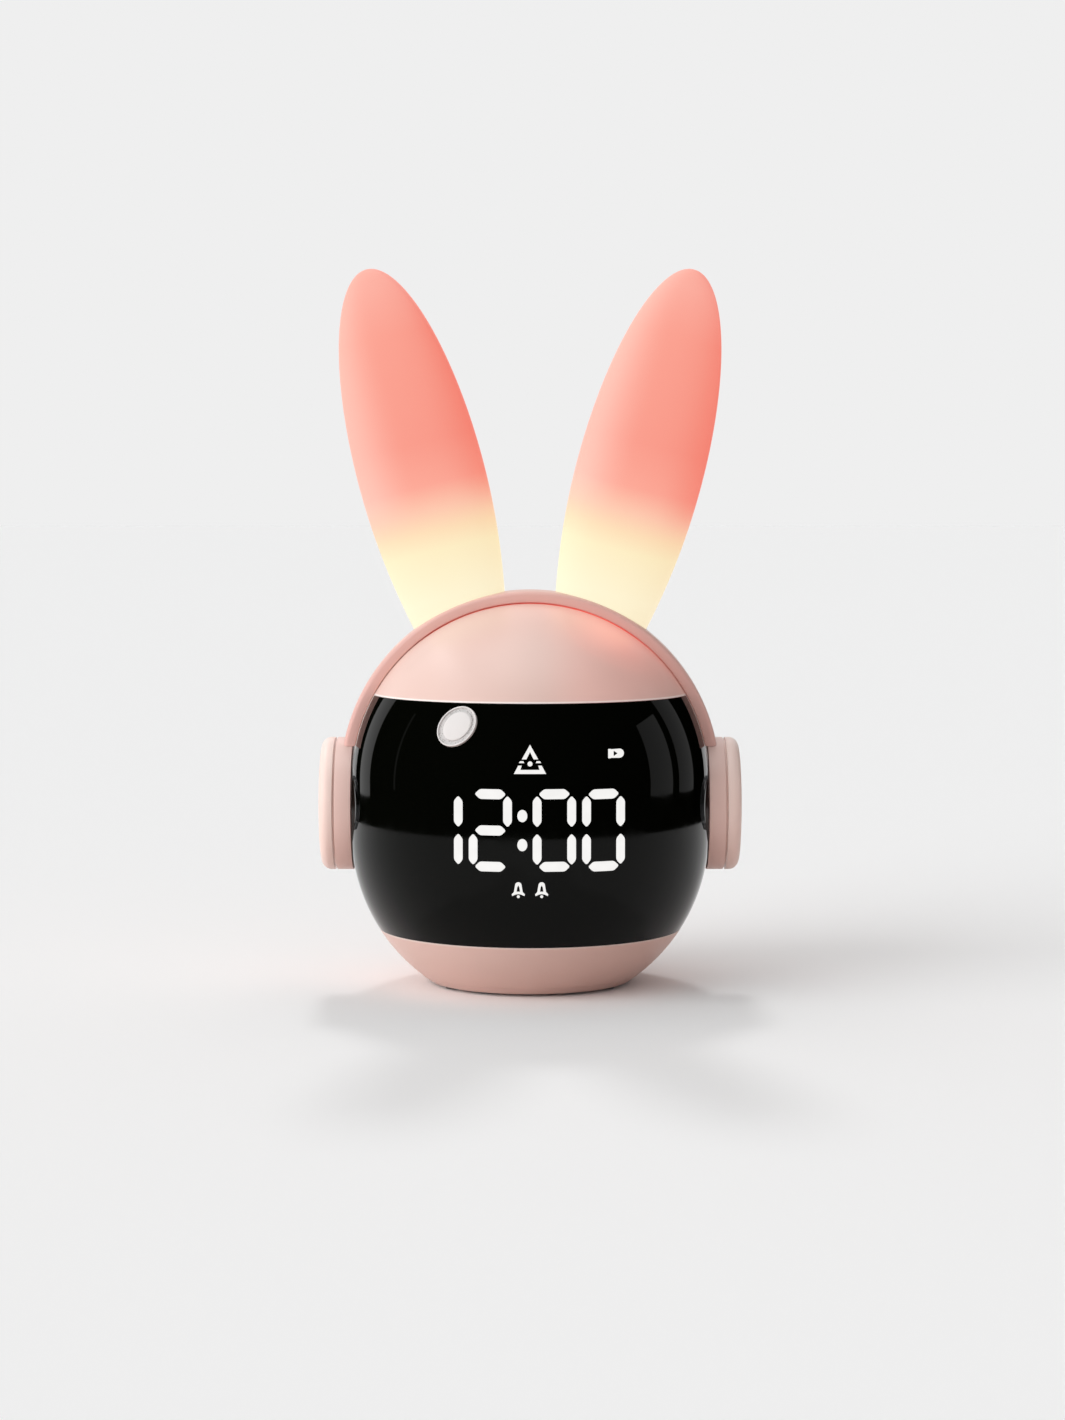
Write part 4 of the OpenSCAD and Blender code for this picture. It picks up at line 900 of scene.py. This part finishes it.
def lit_diffuser(name, side):
    """Milky polypropylene lit from inside: soft and even, with the lamps' colours melting into
    each other along the ear. Its coral part has a painted highlight at its left rim and painted
    shade at its right, as the key lamp falls from the left. Its fine grain is drawn coarse, as the
    shells' is."""
    material = bpy.data.materials.new(name)
    tree = empty_tree(material)
    place = add_node(tree, "ShaderNodeTexCoord")
    in_ear = add_node(tree, "ShaderNodeMapping", {"vector_type": "TEXTURE"},
                      {"Vector": place.outputs["Object"],
                       "Location": (side * EAR_X, 0, EAR_Z),
                       "Rotation": (0, math.radians(side * EAR_TILT), 0),
                       "Scale": (EAR_LEN, EAR_LEN, EAR_LEN)})
    parts = add_node(tree, "ShaderNodeSeparateXYZ", None, {0: in_ear.outputs[0]})
    waver = add_node(tree, "ShaderNodeTexNoise", None,
                     {"Vector": place.outputs["Object"], "Scale": 1 / (25 * MM), "Detail": 1.0})
    along = add_node(tree, "ShaderNodeMath", {"operation": "MULTIPLY_ADD"},
                     {0: waver.outputs["Fac"], 1: 0.03, 2: parts.outputs[2]}).outputs[0]
    ramp = add_node(tree, "ShaderNodeValToRGB", None, {"Fac": along})
    stops = [(0.09, "#f5e1be"), (0.22, "#f4d9ad"), (0.27, "#f4c89d"), (0.33, "#f4aa8f"),
             (0.40, "#f37d6c"), (0.52, "#f06959"), (0.82, "#f17060"), (0.96, "#f28376")]
    points = ramp.color_ramp.elements
    points[0].position, points[0].color = stops[0][0], linear(stops[0][1])
    points[1].position, points[1].color = stops[-1][0], linear(stops[-1][1])
    for position, colour in stops[1:-1]:
        points.new(position).color = linear(colour)
    light = ramp.outputs["Color"]
    coral = (along, 0.28, 0.40)
    # Painted highlight at the left rim and painted shade at the right, for the key lamp on the
    # left
    painted_lit_rim = [(parts.outputs[0], -0.02, -0.17), coral]
    painted_shaded_rim = [(parts.outputs[0], 0.06, 0.175), coral]
    light = laid_over(tree, light, painted_lit_rim, 0.30, "#ffd2c8")
    light = laid_over(tree, light, painted_shaded_rim, 0.34, "#ee4a34")
    grains = add_node(tree, "ShaderNodeTexNoise", None,
                      {"Vector": place.outputs["Object"], "Scale": 1 / (0.4 * MM), "Detail": 2.0})
    bump = add_node(tree, "ShaderNodeBump", None,
                    {"Height": grains.outputs["Fac"], "Strength": 0.4, "Distance": 0.005 * MM})
    shader = add_node(tree, "ShaderNodeBsdfPrincipled", None,
                      {"Base Color": linear("#6c8b81"), "Roughness": 0.5,
                       "Specular IOR Level": 0.3, "Normal": bump.outputs[0],
                       "Emission Color": light, "Emission Strength": 0.95})
    add_node(tree, "ShaderNodeOutputMaterial", None, {"Surface": shader.outputs[0]})
    return material


ear("ear_left", -1, lit_diffuser("lit_milky_polypropylene_left", -1))
ear("ear_right", 1, lit_diffuser("lit_milky_polypropylene_right", 1))


# ---------------------------------------------------------------- Side cups
# On either side a cup ring is fixed to the head with a dark collar behind it, and a push cap
# slides in it on a spring. All three are round mouldings of ABS about one axis.

# Satin ABS like the shell's for ring and cap; the collar is left glossy from the mould, and its
# brown is a painted reflection of the pink ring with painted shade between ring and head
ring_pink = moulded("satin_abs_ring_pink", "#eecec5", 0.36)
cap_pink = moulded("satin_abs_cap_pink", "#fce4db", 0.34)
collar_painted_brown = moulded("glossy_abs_collar_brown", "#43322d", 0.2)
CUP_STEPS = 160
RING_OUT = cup_high.x
RING_IN = RING_OUT - 4.5 * MM
RING_WALL = 2.1 * MM
LIP = 0.75 * MM
REBATE = 0.7 * MM
POCKET = 2.1 * MM
SLIDE_GAP = 0.15 * MM
RIM_ROUND = 0.12 * MM
cap_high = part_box("cap_right")[1]
CAP_RIM = RING_OUT + 0.55 * MM
CAP_SKIRT = 0.65 * MM
CAP_ROUND = 2.6 * MM
collar_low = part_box("collar_right")[0]
COLLAR_OUT = RING_IN - 0.05 * MM
COLLAR_SINK = 0.5 * MM
COLLAR_LEAST = 0.6 * MM


def disc(name, radius, low, high):
    """A solid disc about the cups' axis, from low to high along it, open in edit mode."""
    fresh()
    bpy.ops.mesh.primitive_cylinder_add(vertices=CUP_STEPS, radius=radius, depth=high - low,
                                        location=((low + high) / 2, 0, CUP_Z),
                                        rotation=(0, math.radians(90), 0))
    bpy.ops.object.transform_apply()
    piece = bpy.context.object
    piece.name = name
    open_piece(piece)
    return piece


def from_axis(p):
    """How far a point is from the cups' axis."""
    return math.hypot(p.y, p.z - CUP_Z)


def end_face(x):
    """In edit mode, picks the flat face at this end of the axis."""
    pick(lambda p: abs(p.x - x) < TINY and from_axis(p) < TINY)


def round_rim(x, size, steps):
    """In edit mode, rounds the outer edge at this place along the axis."""
    pick(lambda p: abs(p.x - x) < TINY and abs(from_axis(p) - CUP_R) < 5 * TINY, "EDGE")
    bpy.ops.mesh.bevel(offset=size, segments=steps)


def both_sides(piece, material, slot, kind, bodies):
    """Fits the piece on the right and its mirror image on the left, kept out of the window's
    reflections, where the cups would stand beside themselves."""
    piece.visible_glossy = False
    left = twin(piece, kind + "_left")
    for point in left.data.vertices:
        point.co.x = -point.co.x
    left.data.flip_normals()
    fit(piece, material, bodies[1], slot, kind + "_right")
    fit(left, material, bodies[0], slot, kind + "_left")


ring = disc("cup_ring_right", CUP_R, RING_IN, RING_OUT)
end_face(RING_OUT)
bpy.ops.mesh.inset(thickness=LIP)
bpy.ops.mesh.extrude_region_move(TRANSFORM_OT_translate={"value": (-REBATE, 0, 0)})
bpy.ops.mesh.inset(thickness=RING_WALL - LIP)
bpy.ops.mesh.extrude_region_move(TRANSFORM_OT_translate={"value": (-POCKET, 0, 0)})
close_piece()
modify(ring, "BEVEL", width=RIM_ROUND, segments=3, limit_method="ANGLE",
       angle_limit=math.radians(50))
crease(ring)
both_sides(ring, ring_pink, "ring_plastic", "cup_ring", ("clock", "clock"))

cap = disc("cap_right", CUP_R, CAP_RIM, cap_high.x)
end_face(CAP_RIM)
bpy.ops.mesh.inset(thickness=LIP + SLIDE_GAP)
bpy.ops.mesh.extrude_region_move(TRANSFORM_OT_translate={"value": (-CAP_SKIRT, 0, 0)})
bpy.ops.mesh.inset(thickness=RING_WALL - LIP + SLIDE_GAP)
bpy.ops.mesh.extrude_region_move(TRANSFORM_OT_translate={"value": (-POCKET, 0, 0)})
round_rim(cap_high.x, CAP_ROUND, 12)
round_rim(CAP_RIM, RIM_ROUND, 3)
close_piece()
crease(cap)
both_sides(cap, cap_pink, "cap_plastic", "cap", ("left_cap", "right_cap"))

# The collar's inner end follows the head and is sunk into it a little
collar = disc("collar_right", COLLAR_R, collar_low.x, COLLAR_OUT)
mesh = bmesh.from_edit_mesh(collar.data)
for point in mesh.verts:
    if point.co.x < RING_IN - TINY * 10:
        up = point.co.z - head_centre(point.co.z)
        surface = math.sqrt(max(0, BALL_R ** 2 - point.co.y ** 2 - up ** 2))
        point.co.x = min(RING_IN - COLLAR_LEAST, surface - COLLAR_SINK)
bmesh.update_edit_mesh(collar.data)
close_piece()
crease(collar)
both_sides(collar, collar_painted_brown, "dark_plastic", "collar", ("clock", "clock"))


# ---------------------------------------------------------------- Touch pad
# A white ABS button let into the window: a bright rim, a groove with a stippled floor and a
# smooth crowned disc in the middle.
PAD_LEN = 11.9 * MM
PAD_WID = 10 * MM
PAD_TURN = 24.4
PAD_RISE = 20.9
PAD_SLANT = 47
PAD_SINK = 0.9 * MM
PAD_PROUD = 0.5 * MM
PAD_RIM = 0.4 * MM
GROOVE_W = 1.0 * MM
GROOVE_DEEP = 0.4 * MM
DISC_RISE = 0.3 * MM
DISC_ASIDE = 0.3 * MM
CROWN_RIM = 0.6 * MM
CROWN_RISE = 0.12 * MM
PAD_ROUND = 0.13 * MM
pad_place = (
    Matrix.Translation((0, 0, UPPER)) @ Matrix.Rotation(math.radians(-PAD_TURN), 4, "Z")
    @ Matrix.Rotation(math.radians(90 - PAD_RISE), 4, "X")
    @ Matrix.Rotation(math.radians(PAD_SLANT), 4, "Z")
)
fresh()
bpy.ops.mesh.primitive_cylinder_add(vertices=96, radius=PAD_WID / 2, depth=PAD_SINK + PAD_PROUD,
                                    location=(0, 0, BALL_R + (PAD_PROUD - PAD_SINK) / 2))
pad = bpy.context.object
pad.name = "touch_pad"
pad.scale.x = PAD_LEN / PAD_WID
bpy.ops.object.transform_apply()
open_piece(pad)
pad_top = BALL_R + PAD_PROUD
pick(lambda p: p.z > pad_top - TINY)
bpy.ops.mesh.inset(thickness=PAD_RIM)
bpy.ops.mesh.extrude_region_move(TRANSFORM_OT_translate={"value": (0, 0, -GROOVE_DEEP)})
bpy.ops.mesh.inset(thickness=GROOVE_W)
bpy.ops.transform.translate(value=(DISC_ASIDE, 0, 0))
bpy.ops.mesh.extrude_region_move(TRANSFORM_OT_translate={"value": (0, 0, DISC_RISE)})
bpy.ops.mesh.inset(thickness=CROWN_RIM)
bpy.ops.transform.translate(value=(0, 0, CROWN_RISE))
close_piece()
modify(pad, "BEVEL", width=PAD_ROUND, segments=3, limit_method="ANGLE",
       angle_limit=math.radians(30))
pad.matrix_world = pad_place
pad.select_set(True)
bpy.context.view_layer.objects.active = pad
bpy.ops.object.transform_apply()
crease(pad)

# Glossy ABS on the rim and disc; the groove's floor is drawn greyer, with fine specks
pad_white = moulded("gloss_abs_pad_white", "#e6e5e4", 0.2)
tree = pad_white.node_tree
shader = next(node for node in tree.nodes if node.type == "BSDF_PRINCIPLED")
place = add_node(tree, "ShaderNodeTexCoord")
flat = add_node(tree, "ShaderNodeMapping", {"vector_type": "TEXTURE"},
                {"Vector": place.outputs["Object"], "Location": pad_place.translation,
                 "Rotation": pad_place.to_euler(), "Scale": (1, 1, 1)})
oval = add_node(tree, "ShaderNodeVectorMath", {"operation": "MULTIPLY"},
                {0: flat.outputs[0], 1: (2 / PAD_LEN, 2 / PAD_WID, 0)})
away = add_node(tree, "ShaderNodeVectorMath", {"operation": "LENGTH"}, {0: oval.outputs[0]})
away = away.outputs["Value"]
groove = within(tree, [(away, 0.66, 0.74), (away, 0.94, 0.90)])
dots = add_node(tree, "ShaderNodeTexVoronoi", {"feature": "F1"},
                {"Vector": place.outputs["Object"], "Scale": 1 / (0.5 * MM), "Randomness": 0.6})
speck = add_node(tree, "ShaderNodeMapRange", {"interpolation_type": "SMOOTHSTEP"},
                 {"Value": dots.outputs["Distance"], "From Min": 0.25, "From Max": 0.45,
                  "To Min": 0.55, "To Max": 0.8})
shade = add_node(tree, "ShaderNodeMix", {"data_type": "FLOAT"},
                 {"Factor": groove, "A": 1.0, "B": speck.outputs[0]})
drift = shader.inputs["Base Color"].links[0].from_socket
toned = add_node(tree, "ShaderNodeVectorMath", {"operation": "SCALE"},
                 {0: drift, "Scale": shade.outputs[0]})
tree.links.new(toned.outputs[0], shader.inputs["Base Color"])
fit(pad, pad_white, "clock", "pad_plastic", "touch_pad")


# ---------------------------------------------------------------- Back panel and keys
# A moulded plate in a bay at the back, held by two screws. Four round keys stand in its holes
# on tactile switches; each has a dished top, rounded edges and a flange that keeps it in.
KEY_R = 3.4 * MM
FLANGE_T = 0.9 * MM
KEY_ROUND = 0.45 * MM
KEY_RIM = 0.8 * MM
DISH_STEP = 0.9 * MM
DISH_FALLS = (0.18 * MM, 0.07 * MM)

# Satin ABS, duller on the panel than on the shell; the keys are a warm white and a little glossier
panel_pink = moulded("satin_abs_panel_pink", "#e9c6bb", 0.4)
key_white = moulded("satin_abs_key_white", "#f1e9e5", 0.3)
dress(panel_pink, "rear_panel")

key_low, key_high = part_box("key_mode")
key_x = (key_low.x + key_high.x) / 2
key_z = (key_low.z + key_high.z) / 2
fresh()
bpy.ops.mesh.primitive_cylinder_add(vertices=64, radius=KEY_R, depth=key_high.y - key_low.y,
                                    location=(key_x, (key_low.y + key_high.y) / 2, key_z),
                                    rotation=(math.radians(90), 0, 0))
bpy.ops.object.transform_apply()
key = bpy.context.object
key.name = "key_mode"
open_piece(key)
pick(lambda p: p.y > key_high.y - TINY)
bpy.ops.mesh.inset(thickness=KEY_RIM)
for fall in DISH_FALLS:
    bpy.ops.mesh.inset(thickness=DISH_STEP)
    bpy.ops.transform.translate(value=(0, -fall, 0))
slice_at((0, key_low.y + FLANGE_T, 0), (0, 1, 0))
pick(lambda p: key_low.y + TINY < p.y < key_low.y + FLANGE_T)
bpy.ops.mesh.extrude_region_shrink_fatten(
    TRANSFORM_OT_shrink_fatten={"value": (key_high.x - key_low.x) / 2 - KEY_R})
pick(lambda p: p.y > key_high.y - TINY
     and math.hypot(p.x - key_x, p.z - key_z) > KEY_R - 5 * TINY, "EDGE")
bpy.ops.mesh.bevel(offset=KEY_ROUND, segments=5)
close_piece()
crease(key)
for name in ("set", "up", "down"):
    copy = twin(key, "key_" + name)
    for point in copy.data.vertices:
        point.co.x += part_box("key_" + name)[0].x - key_low.x
    fit(copy, key_white, name + "_key", "key_plastic", "key_" + name)
fit(key, key_white, "mode_key", "key_plastic", "key_mode")

# The power slider: a nub with a ridged top in a slot, on a plate that slides behind the panel
NUB_W = 4 * MM
NUB_H = 3 * MM
SLIDE_PLATE_T = 1 * MM
GROOVE_MIDDLES = (-1 * MM, 0, 1 * MM)
GROOVE_HALF = 0.25 * MM
RIDGE_RISE = 0.35 * MM
NUB_ROUND = 0.12 * MM
slide_low, slide_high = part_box("power_slider")
slide_x = (slide_low.x + slide_high.x) / 2
slide_z = (slide_low.z + slide_high.z) / 2
fresh()
bpy.ops.mesh.primitive_cube_add(
    size=1, location=(slide_x, slide_low.y + SLIDE_PLATE_T / 2, slide_z))
slider = bpy.context.object
slider.name = "power_slider"
slider.scale = (slide_high.x - slide_low.x, SLIDE_PLATE_T, slide_high.z - slide_low.z)
bpy.ops.object.transform_apply()
open_piece(slider)
for side in (-1, 1):
    slice_at((slide_x + side * NUB_W / 2, 0, 0), (1, 0, 0))
    slice_at((0, 0, slide_z + side * NUB_H / 2), (0, 0, 1))
pick(lambda p: p.y > slide_low.y + SLIDE_PLATE_T - TINY and abs(p.x - slide_x) < NUB_W / 2
     and abs(p.z - slide_z) < NUB_H / 2)
rise_y = slide_high.y - slide_low.y - SLIDE_PLATE_T
bpy.ops.mesh.extrude_region_move(TRANSFORM_OT_translate={"value": (0, rise_y, 0)})
for middle in GROOVE_MIDDLES:
    slice_at((slide_x + middle - GROOVE_HALF, 0, 0), (1, 0, 0))
    slice_at((slide_x + middle + GROOVE_HALF, 0, 0), (1, 0, 0))
pick(lambda p: p.y > slide_high.y - TINY
     and min(abs(p.x - slide_x - middle) for middle in GROOVE_MIDDLES) < GROOVE_HALF - TINY)
bpy.ops.mesh.extrude_region_move(TRANSFORM_OT_translate={"value": (0, -RIDGE_RISE, 0)})
close_piece()
modify(slider, "BEVEL", width=NUB_ROUND, segments=2, limit_method="ANGLE",
       angle_limit=math.radians(40))
crease(slider)
fit(slider, key_white, "slider", "key_plastic", "power_slider")


# ---------------------------------------------------------------- Feet
# Four discs of soft grey rubber, cast with a shallow dish underneath and a rounded edge, and
# glued into seats in the base, so that the clock stands still while a cup is pushed.
foot_low, foot_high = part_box("rubber_feet")
FOOT_R = 3 * MM
FOOT_ROUND = 0.25 * MM
FOOT_RIM = 0.8 * MM
FOOT_DISH = 0.12 * MM

# Cast rubber: dull, with a coarse grain and uneven colour
foot_rubber = moulded("cast_rubber_foot_grey", "#6f6a68", 0.75, grain=0.5 * MM, depth=0.02 * MM,
                      specular=0.3, mottle=0.08)
foot_x = foot_high.x - FOOT_R
foot_y = foot_high.y - FOOT_R
fresh()
bpy.ops.mesh.primitive_cylinder_add(vertices=64, radius=FOOT_R, depth=foot_high.z - foot_low.z,
                                    location=(foot_x, foot_y, (foot_low.z + foot_high.z) / 2))
bpy.ops.object.transform_apply()
foot = bpy.context.object
open_piece(foot)
pick(lambda p: p.z < foot_low.z + TINY)
bpy.ops.mesh.inset(thickness=FOOT_RIM)
bpy.ops.transform.translate(value=(0, 0, FOOT_DISH))
pick(lambda p: p.z < foot_low.z + TINY
     and math.hypot(p.x - foot_x, p.y - foot_y) > FOOT_R - 5 * TINY, "EDGE")
bpy.ops.mesh.bevel(offset=FOOT_ROUND, segments=3)
close_piece()
feet = [foot]
for across, back in ((-1, 1), (1, -1), (-1, -1)):
    copy = twin(foot, "foot")
    for point in copy.data.vertices:
        point.co.x += (across - 1) * foot_x
        point.co.y += (back - 1) * foot_y
    feet.append(copy)
feet = join(feet, "rubber_feet")
crease(feet)
fit(feet, foot_rubber, "clock", "foot_rubber", "rubber_feet")


# ---------------------------------------------------------------- Fasteners and metal parts
# Zinc-plated steel screws, a drawn stainless socket shell and slide switch, and the two springs
# of bare spring steel. Plating looks even and softly bright, with faint rubbed marks.
def bright_metal(name, colour, roughness, mark):
    """Bare or plated metal with marks of the given size that change its gloss."""
    material = bpy.data.materials.new(name)
    tree = empty_tree(material)
    place = add_node(tree, "ShaderNodeTexCoord")
    along = add_node(tree, "ShaderNodeMapping", None,
                     {"Vector": place.outputs["Object"], "Scale": (1, 6, 1)})
    marks = add_node(tree, "ShaderNodeTexNoise", None,
                     {"Vector": along.outputs[0], "Scale": 1 / mark, "Detail": 3.0})
    gloss = add_node(tree, "ShaderNodeMapRange", None,
                     {"Value": marks.outputs["Fac"], "From Min": 0.3, "From Max": 0.7,
                      "To Min": roughness - 0.07, "To Max": roughness + 0.07})
    bump = add_node(tree, "ShaderNodeBump", None,
                    {"Height": marks.outputs["Fac"], "Strength": 0.4, "Distance": 0.005 * MM})
    shader = add_node(tree, "ShaderNodeBsdfPrincipled", None,
                      {"Base Color": linear(colour), "Metallic": 1.0,
                       "Roughness": gloss.outputs[0], "Normal": bump.outputs[0]})
    add_node(tree, "ShaderNodeOutputMaterial", None, {"Surface": shader.outputs[0]})
    return material


# Plated screws shine softly, drawn stainless is the brightest, and oiled spring steel is darker
dress(bright_metal("zinc_plated_steel", "#b9bcbf", 0.3, 0.8 * MM), "shell_screws", "base_screws",
      "panel_screws", "board_screws")
dress(bright_metal("drawn_stainless_steel", "#c6c8ca", 0.25, 1.5 * MM), "usb_socket",
      "slide_switch")
dress(bright_metal("bare_spring_steel", "#8d8f92", 0.35, 0.6 * MM), "cap_spring_left",
      "cap_spring_right")


# ---------------------------------------------------------------- Boards, chips and lamps
# Glass-fibre boards under a green solder mask, with epoxy chips, switches and small resin lamps
# soldered on. A black frame keeps the light of the digits' lamps apart. All are held by screws.

# Solder mask is glossy, and the copper tracks show through it as slightly raised paler lines
board_green = bpy.data.materials.new("solder_masked_glass_fibre")
tree = empty_tree(board_green)
place = add_node(tree, "ShaderNodeTexCoord")
tracks = add_node(tree, "ShaderNodeTexVoronoi", {"feature": "F1", "distance": "CHEBYCHEV"},
                  {"Vector": place.outputs["Object"], "Scale": 1 / (2.5 * MM), "Randomness": 0.7})
copper = add_node(tree, "ShaderNodeMapRange", None,
                  {"Value": tracks.outputs["Distance"], "From Min": 0.40, "From Max": 0.46})
mask = add_node(tree, "ShaderNodeMix", {"data_type": "RGBA"}, {"Factor": copper.outputs[0]})
mask.inputs["A"].default_value = linear("#1b5a36")
mask.inputs["B"].default_value = linear("#3b8152")
bump = add_node(tree, "ShaderNodeBump", None,
                {"Height": copper.outputs[0], "Strength": 0.6, "Distance": 0.035 * MM})
shader = add_node(tree, "ShaderNodeBsdfPrincipled", None,
                  {"Base Color": mask.outputs["Result"], "Roughness": 0.32,
                   "Normal": bump.outputs[0]})
add_node(tree, "ShaderNodeOutputMaterial", None, {"Surface": shader.outputs[0]})
dress(board_green, "display_board", "ear_boards", "side_boards", "key_board", "main_board")

# Chips and switches are dull and gritty, the frame is satin, and the lamps are a cloudy cream
dress(moulded("moulded_epoxy_black", "#29292c", 0.5, grain=0.25 * MM), "main_chips",
      "side_switches", "key_switches")
dress(moulded("moulded_abs_frame_black", "#161617", 0.5), "display_frame")
dress(moulded("cloudy_moulded_epoxy", "#fff0cc", 0.25, grain=0.6 * MM, mottle=0.05),
      "display_leds", "ear_leds")


# ---------------------------------------------------------------- Speaker, battery and leads
# A small speaker with a pressed basket held by a moulded ring, a lithium cell in a crimped foil
# pouch, and stranded leads in soft PVC.

# Blackened steel has a dull sheen, the ring is satin, the foil wavy, and the PVC a little waxy
dress(bright_metal("pressed_blackened_steel", "#4a4b4e", 0.45, 1.2 * MM), "speaker")
dress(moulded("moulded_abs_clip_grey", "#d9d4cf", 0.45), "speaker_clip")
dress(moulded("crimped_laminate_foil", "#8396b8", 0.35, grain=1.5 * MM, depth=0.05 * MM),
      "battery")
dress(moulded("extruded_pvc_red", "#b8402f", 0.4, grain=0.5 * MM), "ear_leads", "speaker_lead",
      "battery_lead")
dress(moulded("extruded_pvc_white", "#e2e2e0", 0.4, grain=0.5 * MM), "side_leads", "display_lead")
